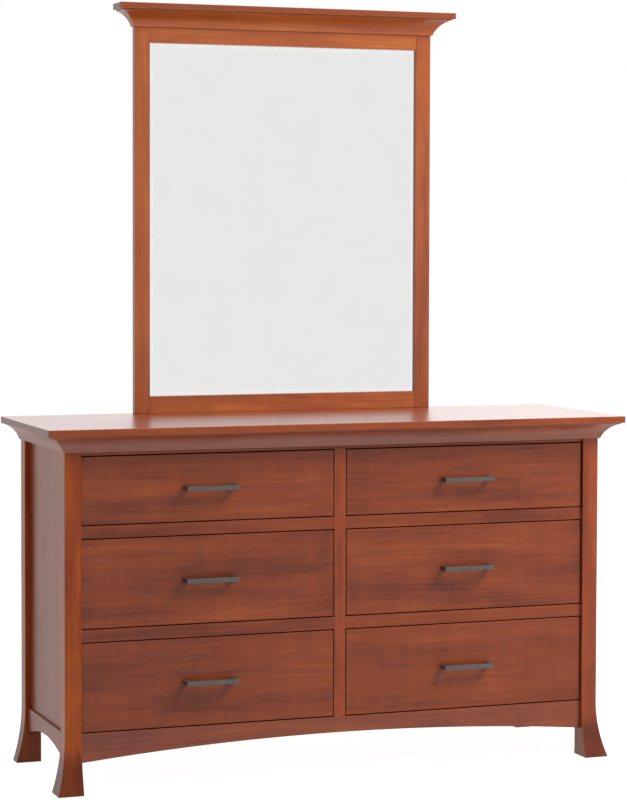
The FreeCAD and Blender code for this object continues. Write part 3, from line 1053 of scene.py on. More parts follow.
def dress(node: str, material: bpy.types.Material, ease: float = 0.0) -> None:
    """Gives a CAD node its material, and rounded edges if wanted.

    Args:
        node: The node's name.
        material: What it is made of.
        ease: How far its edges are rounded, or 0 for none.
    """
    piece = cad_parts[node]
    if not piece.material_slots:
        piece.data.materials.append(None)
    for slot in piece.material_slots:
        slot.material = material
    if ease:
        piece.modifiers.new("weld", "WELD").merge_threshold = WELD
        bevel = piece.modifiers.new("eased_edges", "BEVEL")
        bevel.width, bevel.segments = ease, ROUND_STEPS
        bevel.limit_method, bevel.angle_limit = "ANGLE", SHARP
        piece.modifiers.new("flat_faces", "WEIGHTED_NORMAL").keep_sharp = True
    LOG.info("%s: dressed in %s", node, material.name)


def dress_board(node: str, finish: WoodFinish, lumber: Lumber, ease: float = 0.0) -> None:
    """Gives a CAD node that is one board its own cut of a wood.

    Args:
        node: The node's name.
        finish: The wood.
        lumber: How the board lies in its log.
        ease: How far its edges are rounded, or 0 for none.
    """
    dress(node, finish.cut(node, lumber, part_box(node)), ease)


# Sub-assemblies


class SubAssembly(Protocol):
    """Anything that the main function builds."""

    def build(self) -> None:
        """Makes its pieces."""


@dataclass(frozen=True)
class Screw:
    """A pan-head screw with a square recess.

    Attributes:
        radius: Of its head.
        height: Of its head.
        dome: The head's outline from its rim inwards, as shares of its radius and height.
        recess: Half the width of its recess.
        recess_floor: The level of the recess's floor, as a share of the head's height.
        steps: How many sides its head has.
    """

    radius: float = 0.0045
    height: float = 0.0024
    dome: tuple[Point, ...] = ((1.0, 0.0), (1.0, 0.3), (0.93, 0.62), (0.78, 0.88), (0.52, 1.0))
    recess: float = 0.0014
    recess_floor: float = 0.35
    steps: int = 24

    def head(self, spot: Vector) -> Shape:
        """Makes the head, which looks towards +Y.

        Args:
            spot: The middle of its underside.

        Returns:
            The shape.
        """
        turns = [math.tau * n / self.steps for n in range(self.steps)]
        square = [self.recess / max(abs(math.cos(turn)), abs(math.sin(turn))) for turn in turns]
        levels = [([self.radius * width] * self.steps, level) for width, level in self.dome]
        levels += [(square, 1.0), (square, self.recess_floor)]
        rings = []
        for sizes, level in levels:
            ring = [(size * math.cos(turn), size * math.sin(turn)) for turn, size in zip(turns, sizes)]
            rings.append([spot + Vector((x, self.height * level, z)) for x, z in ring])
        return loft(rings)


@dataclass(frozen=True)
class Cove:
    """The section of the cove moulding under the top and, once more, under the mirror's cap.

    Attributes:
        height: Of the whole moulding.
        lip: Its thickness at the foot.
        run: How far the cove leans out.
        edge: The flat above the cove.
        radius: Of the cove.
        steps: How many straight runs the cove has.
        ease: How far its long edges are rounded.
    """

    height: float = 0.044
    lip: float = 0.0045
    run: float = 0.0415
    edge: float = 0.0025
    radius: float = 0.062
    steps: int = 20
    ease: float = 0.0006

    @property
    def width(self) -> float:
        """How far the moulding stands out at its top."""
        return self.lip + self.run

    def section(self) -> list[Point]:
        """Lists the section's corners.

        Returns:
            Pairs of a distance out and a height.
        """
        start, end = Vector((self.lip, 0.0)), Vector((self.width, self.height - self.edge))
        chord = end - start
        down = Vector((chord.y, -chord.x)).normalized()
        centre = (start + end) / 2 + down * math.sqrt(self.radius**2 - chord.length_squared / 4)
        first = math.atan2(start.y - centre.y, start.x - centre.x)
        last = math.atan2(end.y - centre.y, end.x - centre.x)
        curve = []
        for n in range(self.steps + 1):
            turn = first + (last - first) * n / self.steps
            curve.append((centre.x + self.radius * math.cos(turn), centre.y + self.radius * math.sin(turn)))
        return [(0.0, 0.0), *curve, (self.width, self.height), (0.0, self.height)]

    def mitre(self, box: Corners, side: Side) -> Ring:
        """Lists the section's corners where a crown turns from its front to a side.

        Args:
            box: The crown's lowest and highest corners.
            side: Which side it turns to.

        Returns:
            The corners, along the mitre.
        """
        low, high = box
        half, wall = high.x - self.width, low.y + self.width
        return [Vector((side.value * (half + out), wall - out, low.z + up)) for out, up in self.section()]

    def front(self, box: Corners) -> Shape:
        """Makes the front length of a crown with a given box, mitred at both ends, and returns it."""
        return loft([self.mitre(box, side) for side in Side])

    def side(self, box: Corners, side: Side) -> Shape:
        """Makes one side length of a crown, mitred at the front and square at the rear.

        Args:
            box: The crown's lowest and highest corners.
            side: Which hand it is.

        Returns:
            The shape.
        """
        near = self.mitre(box, side)
        return loft([near, [Vector((point.x, box[1].y, point.z)) for point in near]])


@dataclass
class CaseTop:
    """The top slab with the crown moulding under it.

    Attributes:
        slab_lumber: How the slab lies in its log.
        slab_ease: How far its edges are rounded.
        front_lumber: How the crown's front lies in its log; its shade of 0.1, lighter than the sides, is
            painted light.
        side_lumber: How the crown's sides lie in theirs.
        cove: The crown's section.
    """

    slab_lumber: Lumber = Lumber(Axis.X, Axis.Z)
    slab_ease: float = 0.002
    # The front's lighter shade is painted light, standing in for the floor's brighter reflection.
    front_lumber: Lumber = Lumber(Axis.X, Axis.Y, 0.1)
    side_lumber: Lumber = Lumber(Axis.Y, Axis.X)
    cove: Cove = Cove()

    def slab(self) -> None:
        """Makes the top slab."""
        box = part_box("top_slab")
        wood = TOP_STAIN.cut("top_slab", self.slab_lumber, box)
        Stock("case_top").add(block(*box), wood, self.slab_ease).finish("top_slab")

    def crown(self) -> None:
        """Makes the three lengths of the crown."""
        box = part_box("crown_sides")
        wood = COVE_STAIN.cut("crown_front", self.front_lumber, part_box("crown_front"))
        front = Stock("case_crown_front")
        front.add(self.cove.front(box), wood, self.cove.ease, runs_along(Axis.X)).finish("crown_front")
        sides = Stock("case_crown_sides")
        for side in Side:
            wood = COVE_STAIN.cut(f"crown_{side.word}", self.side_lumber, box)
            sides.add(self.cove.side(box, side), wood, self.cove.ease, runs_along(Axis.Y))
        sides.finish("crown_sides")

    def build(self) -> None:
        """Makes the slab and the crown."""
        self.slab()
        self.crown()


@dataclass
class Posts:
    """The four posts with flared feet.

    Attributes:
        side_flare: How far a foot stands out sideways.
        front_flare: How far a front foot stands out forwards.
        flare_height: Where a foot starts to stand out.
        levels: How many steps shape a foot.
        runs: How many steps the straight part above it has.
        ease: How far the edges are rounded.
        shade: How much lighter the posts are than their neighbours.
        lean: What the right ones add to that shade, and the left ones take off it; this is painted light,
            the left posts painted lighter and the right ones darker.
    """

    side_flare: float = 0.024
    front_flare: float = 0.027
    flare_height: float = 0.150
    levels: int = 22
    runs: int = 8
    ease: float = 0.0018
    shade: float = 0.05
    lean: float = -0.11

    def flare(self, reach: float, level: float) -> float:
        """Tells how far a foot stands out at a height.

        Args:
            reach: How far it stands out on the floor.
            level: The height asked about.

        Returns:
            The distance out.
        """
        if level >= self.flare_height:
            return 0.0
        radius = (self.flare_height**2 + reach**2) / (2 * reach)
        return radius - math.sqrt(radius**2 - (self.flare_height - level) ** 2)

    def shape(self, side: Side, end: End) -> Shape:
        """Makes one post.

        Args:
            side: Which hand it is.
            end: Whether it is a front post or a rear one.

        Returns:
            The shape.
        """
        low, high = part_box(f"{end.value}_right_post")
        straight = high.z - self.flare_height
        heights = [self.flare_height * n / self.levels for n in range(self.levels + 1)]
        heights += [self.flare_height + straight * n / self.runs for n in range(1, self.runs + 1)]
        rings = []
        for level in heights:
            inner = side.value * low.x
            outer = side.value * (high.x - self.side_flare + self.flare(self.side_flare, level))
            near = low.y
            if end is End.FRONT:
                near += self.front_flare - self.flare(self.front_flare, level)
            corners = [(inner, near), (outer, near), (outer, high.y), (inner, high.y)]
            rings.append([Vector((x, y, level)) for x, y in corners])
        return loft(rings)

    def build(self) -> None:
        """Makes the four posts."""
        for side in Side:
            # The side's lean is painted light and shade: lighter left posts, darker right ones.
            lumber = Lumber(Axis.Z, Axis.Y, self.shade + self.lean * side.value)
            for end in End:
                node = f"{end.value}_{side.word}_post"
                stain = FRAME_STAIN if end is End.FRONT and side is Side.RIGHT else SIDE_STAIN
                wood = stain.cut(node, lumber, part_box(node))
                Stock(f"{node}_turned_out").add(self.shape(side, end), wood, self.ease).finish(node)


@dataclass
class FrontFrame:
    """The rails, the centre stile and the arched apron between the front posts.

    Attributes:
        rail_height: Of a drawer rail.
        rail_shade: How much lighter the drawer rails are than their neighbours.
        rail_lean: What the right ones add to that shade, and the left ones take off it; this is painted
            light, the right rails lighter and the left ones darker.
        stile_lumber: How the centre stile lies in its log.
        top_lumber: How the top rail lies in its log.
        apron_lumber: How the apron lies in its log; its turn picks a stretch that runs darker on the left
            and lighter on the right, which is painted light.
        apron_rise: The rise of its arch.
        apron_steps: How many straight runs the arch has.
        ease: How far edges are rounded.
    """

    rail_height: float = 0.032
    rail_shade: float = -0.06
    rail_lean: float = 0.08
    stile_lumber: Lumber = Lumber(Axis.Z, Axis.Y, -0.06)
    top_lumber: Lumber = Lumber(Axis.X, Axis.Y)
    # Turn 5 makes the grain paint the apron darker on the left and lighter on the right: painted light.
    apron_lumber: Lumber = Lumber(Axis.X, Axis.Y, -0.02, 5)
    apron_rise: float = 0.034
    apron_steps: int = 56
    ease: float = 0.0012

    @property
    def half(self) -> float:
        """Half the width between the posts."""
        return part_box("front_right_post")[0].x

    @property
    def half_stile(self) -> float:
        """Half the width of the centre stile."""
        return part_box("centre_stile")[1].x

    @property
    def depth(self) -> Span:
        """The frame's front and rear planes."""
        low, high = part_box("drawer_rails")
        return low.y, high.y

    def drawer_rails(self) -> None:
        """Makes the four rails under the upper and middle drawers."""
        low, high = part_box("drawer_rails")
        piece = Stock("drawer_divider_rails")
        for count, foot in enumerate((low.z, high.z - self.rail_height)):
            for side in Side:
                ends = sorted((side.value * self.half_stile, side.value * self.half))
                corners = between(ends, self.depth, (foot, foot + self.rail_height))
                # The side's lean is painted light: right rails lighter, left ones darker.
                lumber = Lumber(Axis.X, Axis.Y, self.rail_shade + self.rail_lean * side.value)
                wood = DRAWER_STAIN.cut(f"rail_{count}_{side.word}", lumber, corners)
                piece.add(block(*corners), wood, self.ease, runs_along(Axis.X))
        piece.finish("drawer_rails")

    def stile_and_top_rail(self) -> None:
        """Makes the centre stile and the rail behind the crown."""
        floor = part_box("front_apron")[1].z
        low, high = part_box("front_top_rail")
        corners = between((-self.half_stile, self.half_stile), self.depth, (floor, low.z))
        wood = FRAME_STAIN.cut("centre_stile", self.stile_lumber, corners)
        stile = Stock("drawer_divider_stile")
        stile.add(block(*corners), wood, self.ease, runs_along(Axis.Z)).finish("centre_stile")
        corners = between((-self.half, self.half), self.depth, (low.z, high.z))
        wood = FRAME_STAIN.cut("front_top_rail", self.top_lumber, corners)
        rail = Stock("front_rail_under_top")
        rail.add(block(*corners), wood, self.ease, runs_along(Axis.X)).finish("front_top_rail")

    def apron(self) -> None:
        """Makes the arched apron."""
        low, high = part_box("front_apron")
        outline = arch(self.half, low.z, self.apron_rise, self.apron_steps)
        outline += [(self.half, high.z), (-self.half, high.z)]
        wood = APRON_STAIN.cut("front_apron", self.apron_lumber, (low, high))
        shape = prism(outline, Axis.Y, *self.depth)
        Stock("front_apron_arched").add(shape, wood, self.ease, runs_along(Axis.X)).finish("front_apron")

    def build(self) -> None:
        """Makes the whole frame."""
        self.drawer_rails()
        self.stile_and_top_rail()
        self.apron()


@dataclass
class Sides:
    """The panels and arched aprons between the front and rear posts.

    Attributes:
        panel_lumber: How a panel lies in its log.
        apron_lumber: How an apron lies in its log.
        apron_rise: The rise of an apron's arch.
        apron_steps: How many straight runs the arch has.
        ease: How far an apron's edges are rounded.
    """

    panel_lumber: Lumber = Lumber(Axis.Z, Axis.X)
    apron_lumber: Lumber = Lumber(Axis.Y, Axis.X)
    apron_rise: float = 0.0335
    apron_steps: int = 32
    ease: float = 0.0012

    @property
    def depth(self) -> Span:
        """The rear of the front posts and the front of the rear ones."""
        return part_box("front_right_post")[1].y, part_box("rear_right_post")[0].y

    def panel(self, side: Side) -> None:
        """Makes one side's panel.

        Args:
            side: Which hand it is.
        """
        node = f"{side.word}_side_panel"
        low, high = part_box(node)
        corners = between((low.x, high.x), self.depth, (low.z, high.z))
        wood = SIDE_STAIN.cut(node, self.panel_lumber, corners)
        Stock(f"{node}_board").add(block(*corners), wood).finish(node)

    def apron(self, side: Side) -> None:
        """Makes one side's apron.

        Args:
            side: Which hand it is.
        """
        node = f"{side.word}_side_apron"
        low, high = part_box(node)
        near, far = self.depth
        curve = arch((far - near) / 2, low.z, self.apron_rise, self.apron_steps)
        outline = [((near + far) / 2 + across, up) for across, up in curve]
        outline += [(far, high.z), (near, high.z)]
        wood = SIDE_STAIN.cut(node, self.apron_lumber, (low, high))
        shape = prism(outline, Axis.X, low.x, high.x)
        Stock(f"{node}_arched").add(shape, wood, self.ease, runs_along(Axis.Y)).finish(node)

    def build(self) -> None:
        """Makes both sides."""
        for side in Side:
            self.panel(side)
            self.apron(side)


@dataclass
class CaseInside:
    """The hidden boards of the case, its slide channels and the mirror's supports.

    Attributes:
        support_ease: How far the supports' edges are rounded.
        screw_heights: The heights of each support's screws.
        screw_inset: How far the screws are from the support's outer edge.
        screw: The screw.
    """

    support_ease: float = 0.0015
    screw_heights: tuple[float, ...] = (1.43, 1.04, 0.886)
    screw_inset: float = 0.012
    screw: Screw = Screw()

    def boards(self) -> None:
        """Dresses the hidden boards and the channels."""
        dress_board("back_panel", PLY, Lumber(Axis.Z, Axis.Y))
        dress_board("bottom_panel", PLY, Lumber(Axis.X, Axis.Z))
        dress_board("centre_partition", PLY, Lumber(Axis.Z, Axis.X))
        dress_board("carcass_rails", PLAIN_STAIN, Lumber(Axis.X, Axis.Y))
        dress_board("mirror_supports", PLAIN_STAIN, Lumber(Axis.Z, Axis.Y), self.support_ease)
        dress_board("slide_packers", PLAIN_STAIN, Lumber(Axis.Y, Axis.X))
        dress("slide_channels", ZINC.material())

    def screws(self) -> None:
        """Makes the screws that hold the supports."""
        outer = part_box("mirror_supports")[1]
        piece = Stock("support_screw_heads", Slot.SLIDE_STEEL)
        for side in Side:
            for height in self.screw_heights:
                spot = Vector((side.value * (outer.x - self.screw_inset), outer.y, height))
                piece.add(self.screw.head(spot), ZINC.material())
        piece.finish()

    def build(self) -> None:
        """Dresses the boards and makes the screws."""
        self.boards()
        self.screws()


@dataclass
class Drawer:
    """One drawer: its front, its dovetailed box, its pull and its slides.

    Attributes:
        row: Its row.
        side: Its hand.
        lean: How much lighter the right fronts are, and the left ones darker; this is painted light.
        front_ease: How far the front's edges are rounded.
        box_thick: The thickness of the box's boards.
        box_ease: How far their long edges are rounded.
        bottom_inset: How far the bottom stands above the box's lower edge.
        bottom_thick: The bottom's thickness.
        bottom_lumber: How the bottom lies in its log.
        tail_width: Of a dovetail at its wide end.
        tail_pitch: The least distance from one dovetail to the next.
        tail_slope: How much narrower each side of a dovetail is at its root.
        pull_depth: The depth of the pull's bar.
        pull_ease: How far its edges are rounded.
        screw: The pull's screws.
    """

    row: Row
    side: Side
    lean: float = 0.05
    front_ease: float = 0.0016
    box_thick: float = 0.013
    box_ease: float = 0.0006
    bottom_inset: float = 0.012
    bottom_thick: float = 0.006
    bottom_lumber: Lumber = Lumber(Axis.X, Axis.Z, 0.1)
    tail_width: float = 0.031
    tail_pitch: float = 0.046
    tail_slope: float = 0.0022
    pull_depth: float = 0.010
    pull_ease: float = 0.0009
    screw: Screw = Screw()

    @property
    def name(self) -> str:
        """The drawer's name as the model's nodes spell it."""
        return f"{self.row.value}_{self.side.word}"

    @property
    def body(self) -> str:
        """The body that the drawer is."""
        return f"{self.name}_drawer"

    def front(self) -> None:
        """Makes the drawer front."""
        node = f"{self.body}_front"
        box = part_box(node)
        # The side's lean is painted light: right fronts lighter, left ones darker.
        wood = DRAWER_STAIN.cut(node, Lumber(Axis.X, Axis.Y, self.lean * self.side.value), box)
        Stock(f"{node}_board", body=self.body).add(block(*box), wood, self.front_ease).finish(node)

    def tail_edges(self, low: float, high: float) -> list[tuple[Span, Span]]:
        """Lists the lower and upper edges of the dovetails between two heights.

        Args:
            low: The lower height.
            high: The upper height.

        Returns:
            For each dovetail, its lower and its upper edge, each as its height at the tip and at the root.
        """
        count = int((high - low) // self.tail_pitch)
        tip, root = self.tail_width / 2, self.tail_width / 2 - self.tail_slope
        middles = [low + (high - low) * (n + 0.5) / count for n in range(count)]
        return [((middle - tip, middle - root), (middle + tip, middle + root)) for middle in middles]

    def side_end(self, root: float, tip: float, low: float, high: float) -> list[Point]:
        """Lists the corners up one end of a box side, with its dovetails.

        Args:
            root: The plane of the dovetails' roots.
            tip: The plane of their tips.
            low: The side's lower edge.
            high: Its upper edge.

        Returns:
            Pairs along Y and Z.
        """
        corners = [(root, low)]
        for under, over in self.tail_edges(low, high):
            corners += [(root, under[1]), (tip, under[0]), (tip, over[0]), (root, over[1])]
        return [*corners, (root, high)]

    def pins(self, root: float, tip: float, low: float, high: float) -> list[list[Point]]:
        """Lists the sections of the pins between and beside the dovetails at one end of the box.

        Args:
            root: The plane of the dovetails' roots.
            tip: The plane of their tips.
            low: The box's lower edge.
            high: Its upper edge.

        Returns:
            Four corners for each pin, as pairs along Y and Z.
        """
        edges = [edge for tail in self.tail_edges(low, high) for edge in tail]
        edges = [(low, low), *edges, (high, high)]
        pins = zip(edges[::2], edges[1::2])
        return [[(tip, foot[0]), (root, foot[1]), (root, top[1]), (tip, top[0])] for foot, top in pins]

    def box(self) -> None:
        """Makes the dovetailed box with its bottom and the heads of the pull's screws."""
        node = f"{self.body}_box"
        low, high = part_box(node)
        near, far = low + Vector.Fill(3, self.box_thick), high - Vector.Fill(3, self.box_thick)
        piece = Stock(f"{node}_dovetailed", Slot.DRAWER_WOOD, self.body)
        walls = {"near": (low.x, near.x), "far": (far.x, high.x)}
        ends = {End.FRONT: (near.y, low.y), End.REAR: (far.y, high.y)}
        outline = self.side_end(*ends[End.FRONT], low.z, high.z)
        outline += reversed(self.side_end(*ends[End.REAR], low.z, high.z))
        for place, wall in walls.items():
            corners = between(wall, (low.y, high.y), (low.z, high.z))
            wood = MAPLE.cut(f"{node}_{place}", Lumber(Axis.Y, Axis.X), corners)
            piece.add(prism(outline, Axis.X, *wall), wood, self.box_ease, runs_along(Axis.Y))
        for end, (root, tip) in ends.items():
            corners = between((near.x, far.x), sorted((root, tip)), (low.z, high.z))
            wood = MAPLE.cut(f"{node}_{end.value}", Lumber(Axis.X, Axis.Y), corners)
            piece.add(block(*corners), wood, self.box_ease, runs_along(Axis.X))
            for pin in self.pins(root, tip, low.z, high.z):
                for wall in walls.values():
                    piece.add(prism(pin, Axis.X, *wall), wood)
        floor = low.z + self.bottom_inset
        corners = between((near.x, far.x), (near.y, far.y), (floor, floor + self.bottom_thick))
        piece.add(block(*corners), MAPLE.cut(f"{node}_bottom", self.bottom_lumber, corners))
        for spot in self.screw_spots(near.y):
            piece.add(self.screw.head(spot), ZINC.material())
        piece.finish(node)

    def screw_spots(self, plane: float) -> list[Vector]:
        """Finds the places of the pull's screws, in line with its legs.

        Args:
            plane: The inner plane of the box's front.

        Returns:
            The middles of the heads' undersides.
        """
        low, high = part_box(f"{self.name}_pull")
        height, inset = (low.z + high.z) / 2, (high.z - low.z) / 2
        return [Vector((x, plane, height)) for x in (low.x + inset, high.x - inset)]

    def pull(self) -> None:
        """Makes the bar pull, whose legs are as wide as its bar is high."""
        node = f"{self.name}_pull"
        low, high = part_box(node)
        width = high.z - low.z
        foot, tip, back = high.y, low.y, low.y + self.pull_depth
        outline = [(low.x, foot), (low.x, tip), (high.x, tip), (high.x, foot)]
        outline += [(high.x - width, y) for y in (foot, back)]
        outline += [(low.x + width, y) for y in (back, foot)]

        def free(edge: bmesh.types.BMEdge) -> bool:
            """Tells whether an edge is clear of the drawer front."""
            return min(vert.co.y for vert in edge.verts) < foot - TOUCH

        piece = Stock(f"{node}_bar", Slot.PULL_METAL, self.body)
        shape = prism(outline, Axis.Z, low.z, high.z)
        piece.add(shape, DARK_BRONZE.material(), self.pull_ease, free).finish(node)

    def slides(self) -> None:
        """Dresses the drawer's runners and carriages."""
        for kind in ("runners", "carriages"):
            dress(f"{self.name}_slide_{kind}", ZINC.material())

    def build(self) -> None:
        """Makes the drawer's pieces."""
        self.front()
        self.box()
        self.pull()
        self.slides()


@dataclass
class Mirror:
    """The mirror's frame, glass, crown and cap.

    Attributes:
        stile_lumber: How a stile lies in its log.
        rail_lumber: How a rail lies in its log; its shade of 0.12, lighter than the stiles, is painted
            light.
        backing_lumber: How the backing lies in its log.
        frame_ease: How far the frame's edges are rounded.
        bevel: The width of the glass's bevel.
        bevel_drop: The depth of that bevel.
        bevel_crease: The angle, in degrees, over which the bevel meets the glass in a hard line.
        cove: The crown's section.
        front_lumber: How the crown's front lies in its log; its shade of 0.15 adds more painted light.
        side_lumber: How the crown's sides lie in theirs.
        cap_lumber: How the cap lies in its log.
        cap_ease: How far its edges are rounded.
    """

    stile_lumber: Lumber = Lumber(Axis.Z, Axis.Y, -0.07)
    # The rails' lighter shade is painted light, as if lit from below and in front.
    rail_lumber: Lumber = Lumber(Axis.X, Axis.Y, 0.12)
    backing_lumber: Lumber = Lumber(Axis.Z, Axis.Y)
    frame_ease: float = 0.0008
    bevel: float = 0.020
    bevel_drop: float = 0.00025
    bevel_crease: float = 0.3
    cove: Cove = Cove()
    front_lumber: Lumber = Lumber(Axis.X, Axis.Y, 0.15)
    side_lumber: Lumber = Lumber(Axis.Y, Axis.X)
    cap_lumber: Lumber = Lumber(Axis.X, Axis.Z, -0.5)
    cap_ease: float = 0.002

    def frame(self) -> None:
        """Dresses the frame's four boards and the backing."""
        for side in Side:
            dress_board(f"mirror_{side.word}_stile", MIRROR_STAIN, self.stile_lumber, self.frame_ease)
        for place in ("top", "bottom"):
            dress_board(f"mirror_{place}_rail", MIRROR_STAIN, self.rail_lumber, self.frame_ease)
        dress_board("mirror_backing", PLY, self.backing_lumber)

    def glass(self) -> None:
        """Makes the bevelled glass, with the four faces of its bevel marked for the painted highlight."""
        low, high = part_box("mirror_glass")
        rings = []
        for depth, inset in ((high.y, 0.0), (low.y + self.bevel_drop, 0.0), (low.y, self.bevel)):
            left, right, foot, top = low.x + inset, high.x - inset, low.z + inset, high.z - inset
            corners = [(left, foot), (right, foot), (right, top), (left, top)]
            rings.append([Vector((x, depth, z)) for x, z in corners])
        sides = len(corners)
        piece = Stock("mirror_glass_bevelled", Slot.MIRROR_GLASS, crease=self.bevel_crease)
        piece.add(loft(rings), MIRROR.material(), marked=range(sides, 2 * sides)).finish("mirror_glass")

    def crown(self) -> None:
        """Makes the three lengths of the crown."""
        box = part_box("mirror_crown")
        piece = Stock("mirror_crown_lengths")
        # The crown's front takes the lighter stain and shade: painted light.
        wood = MIRROR_COVE_PAINTED_LIGHT_STAIN.cut("mirror_crown_front", self.front_lumber, box)
        piece.add(self.cove.front(box), wood, self.cove.ease, runs_along(Axis.X))
        for side in Side:
            wood = MIRROR_STAIN.cut(f"mirror_crown_{side.word}", self.side_lumber, box)
            piece.add(self.cove.side(box, side), wood, self.cove.ease, runs_along(Axis.Y))
        piece.finish("mirror_crown")

    def cap(self) -> None:
        """Makes the cap."""
        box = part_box("mirror_cap")
        wood = MIRROR_STAIN.cut("mirror_cap", self.cap_lumber, box)
        Stock("mirror_cap_board").add(block(*box), wood, self.cap_ease).finish("mirror_cap")

    def build(self) -> None:
        """Makes the mirror's pieces."""
        self.frame()
        self.glass()
        self.crown()
        self.cap()


# Studio


@dataclass(frozen=True)
class Lamp:
    """A soft rectangular lamp.

    Attributes:
        name: What it is called.
        place: Where it hangs.
        aim: Where it looks.
        size: Its width and height.
        power: Its strength, in watts.
    """

    name: str
    place: Triple
    aim: Triple
    size: Point
    power: float

    def hang(self) -> None:
        """Puts the lamp in the scene."""
        data = bpy.data.lights.new(self.name, "AREA")
        data.shape, data.energy = "RECTANGLE", self.power
        data.size, data.size_y = self.size
        lamp = bpy.data.objects.new(self.name, data)
        lamp.location = self.place
        lamp.rotation_euler = (Vector(self.aim) - Vector(self.place)).to_track_quat("-Z", "Y").to_euler()
        lamp.visible_glossy = False
        bpy.context.scene.collection.objects.link(lamp)


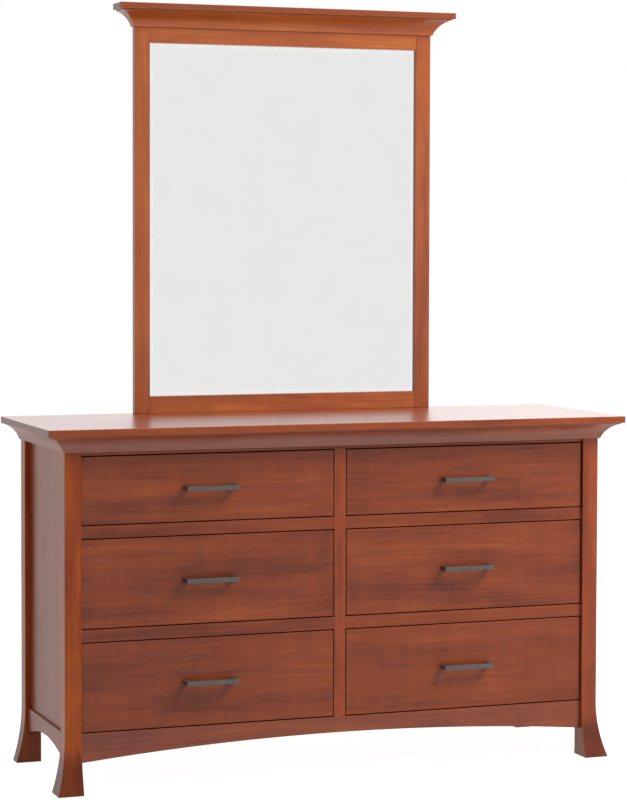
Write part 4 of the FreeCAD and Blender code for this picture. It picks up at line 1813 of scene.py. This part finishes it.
@dataclass
class Studio:
    """The pale floor, the soft light and the camera.

    Attributes:
        sensor: The camera's sensor along the picture's longer side, in millimetres.
        focal: The lens's focal length, in millimetres.
        shift: How far the picture is moved on the sensor.
        place: Where the camera stands.
        turn: Its yaw, pitch and roll, in radians.
        sight: How far the camera sees.
        floor_reach: How far the floor goes from the middle.
        floor_drop: How far it lies under the feet, so that no two faces are in one plane.
        floor_colour: Its colour in the light that it sends back to the dresser.
        floor_roughness: How matt it is there.
        floor_glow: How bright the camera sees it in full shadow.
        floor_gain: What light on it adds to that.
        sky: How bright the surroundings are as a source of light, overhead and at eye level.
        backdrop: How much brighter than white the backdrop is in reflections, left and right.
        backdrop_ahead: How far back a reflection has to look to begin to see it, and to see it fully.
        backdrop_turn: How far right a reflection looks where its left part ends and its right one begins.
        lamps: The lamps.
    """

    sensor: float = 36.0
    focal: float = 114.29
    shift: Point = (0.00206, -0.07474)
    place: Triple = (-2.35316, -6.40816, 1.42506)
    turn: Triple = (0.35125, -0.04254, 0.00257)
    sight: float = 200.0
    floor_reach: float = 40.0
    floor_drop: float = 0.0004
    floor_colour: Colour = (0.72, 0.72, 0.72)
    floor_roughness: float = 0.9
    floor_glow: float = 0.94
    floor_gain: Colour = (0.34, 0.34, 0.34)
    sky: Span = (0.17, 0.38)
    backdrop: Span = (0.06, 0.38)
    backdrop_ahead: Span = (0.0, 0.4)
    backdrop_turn: Span = (0.22, 0.46)
    lamps: tuple[Lamp, ...] = (
        Lamp("key", place=(2.8, -2.5, 4.2), aim=(0.1, 0.0, 0.9), size=(2.4, 1.8), power=330.0),
        Lamp("front", place=(1.9, -1.9, 1.1), aim=(0.5, 0.0, 0.7), size=(1.2, 1.2), power=9.0),
        Lamp("side", place=(-3.4, -0.6, 1.6), aim=(-0.75, 0.0, 0.5), size=(1.6, 1.6), power=17.0),
        Lamp("rear", place=(0.8, 3.6, 0.95), aim=(0.0, 0.25, 0.9), size=(2.4, 1.4), power=42.0),
    )

    def camera(self) -> None:
        """Sets up the camera as the picture was taken."""
        yaw, pitch, roll = self.turn
        ahead = Vector((math.sin(yaw) * math.cos(pitch), math.cos(yaw) * math.cos(pitch), math.sin(pitch)))
        level = Vector((math.cos(yaw), -math.sin(yaw), 0.0))
        up = level.cross(ahead)
        right = level * math.cos(roll) + up * math.sin(roll)
        up = up * math.cos(roll) - level * math.sin(roll)
        data = bpy.data.cameras.new("camera")
        data.sensor_width, data.lens, data.clip_end = self.sensor, self.focal, self.sight
        data.shift_x, data.shift_y = self.shift
        camera = bpy.data.objects.new("camera", data)
        axes = Matrix((right, up, -ahead)).transposed().to_4x4()
        camera.matrix_world = Matrix.Translation(self.place) @ axes
        bpy.context.scene.collection.objects.link(camera)
        bpy.context.scene.camera = camera

    @staticmethod
    def seen(wiring: Wiring) -> Socket:
        """Tells a ray that sees the surroundings straight, in a mirror or through glass.

        Args:
            wiring: The tree that asks.

        Returns:
            1 for such a ray and 0 for any other.
        """
        path = wiring.add("LightPath").outputs
        seen = wiring.reckon("MAXIMUM", path["Is Camera Ray"], path["Is Glossy Ray"])
        return wiring.reckon("MAXIMUM", seen, path["Is Transmission Ray"])

    def floor_material(self) -> bpy.types.Material:
        """Makes the floor's material, which looks white and keeps the dresser's shadow.

        Returns:
            The material.
        """
        material, wiring = start_material("pale_floor")
        matt = {"Roughness": self.floor_roughness, "Specular IOR Level": 0.0}
        lit = wiring.add("BsdfPrincipled", {"Base Color": self.floor_colour, **matt})
        white = wiring.add("Emission", {"Color": WHITE, "Strength": 1.0})
        mixed = wiring.add("MixShader", {0: self.seen(wiring), 1: lit.outputs[0], 2: white.outputs[0]})
        gain = wiring.add("BsdfDiffuse", {"Color": self.floor_gain})
        glow = wiring.add("Emission", {"Color": WHITE, "Strength": self.floor_glow})
        shown = wiring.add("AddShader", {0: gain.outputs[0], 1: glow.outputs[0]})
        camera = wiring.add("LightPath").outputs["Is Camera Ray"]
        mixed = wiring.add("MixShader", {0: camera, 1: mixed.outputs[0], 2: shown.outputs[0]})
        wiring.add("OutputMaterial", {"Surface": mixed.outputs[0]})
        return material

    def floor(self) -> None:
        """Lays the floor."""
        shape = bmesh.new()
        bmesh.ops.create_grid(shape, x_segments=1, y_segments=1, size=self.floor_reach)
        mesh = bpy.data.meshes.new("floor")
        shape.to_mesh(mesh)
        shape.free()
        mesh.materials.append(self.floor_material())
        floor = bpy.data.objects.new("floor", mesh)
        floor.location.z = -self.floor_drop
        bpy.context.scene.collection.objects.link(floor)

    def surroundings(self) -> None:
        """Makes the even white surroundings."""
        world = bpy.data.worlds.new("studio")
        world.use_nodes = True
        bpy.context.scene.world = world
        wiring = Wiring(world.node_tree)
        way = wiring.split(wiring.add("TexCoord").outputs["Generated"])
        path = wiring.add("LightPath").outputs
        glow = wiring.ramp(way["Z"], (1.0, 0.0), self.sky)
        behind = wiring.ramp(way["Y"], self.backdrop_ahead)
        right = wiring.ramp(way["X"], self.backdrop_turn, self.backdrop)
        shine = wiring.reckon("MULTIPLY", wiring.reckon("MULTIPLY", behind, right), path["Is Glossy Ray"])
        strength = wiring.reckon("ADD", wiring.reckon("MAXIMUM", self.seen(wiring), glow), shine)
        light = wiring.add("Background", {"Color": WHITE, "Strength": strength})
        wiring.add("OutputWorld", {"Surface": light.outputs[0]})

    def build(self) -> None:
        """Sets up the whole studio."""
        bpy.context.scene.view_settings.view_transform = "Standard"
        self.camera()
        self.floor()
        self.surroundings()
        for lamp in self.lamps:
            lamp.hang()


def main() -> None:
    """Builds the studio and every sub-assembly in order."""
    logging.basicConfig(level=logging.INFO, format="%(message)s")
    parts: list[SubAssembly] = [Studio(), CaseTop(), Posts(), FrontFrame(), Sides(), CaseInside()]
    parts += [Drawer(row, side) for row in Row for side in Side]
    parts.append(Mirror())
    for part in parts:
        part.build()
        LOG.info("%s is done", type(part).__name__)


if __name__ == "__main__":
    main()
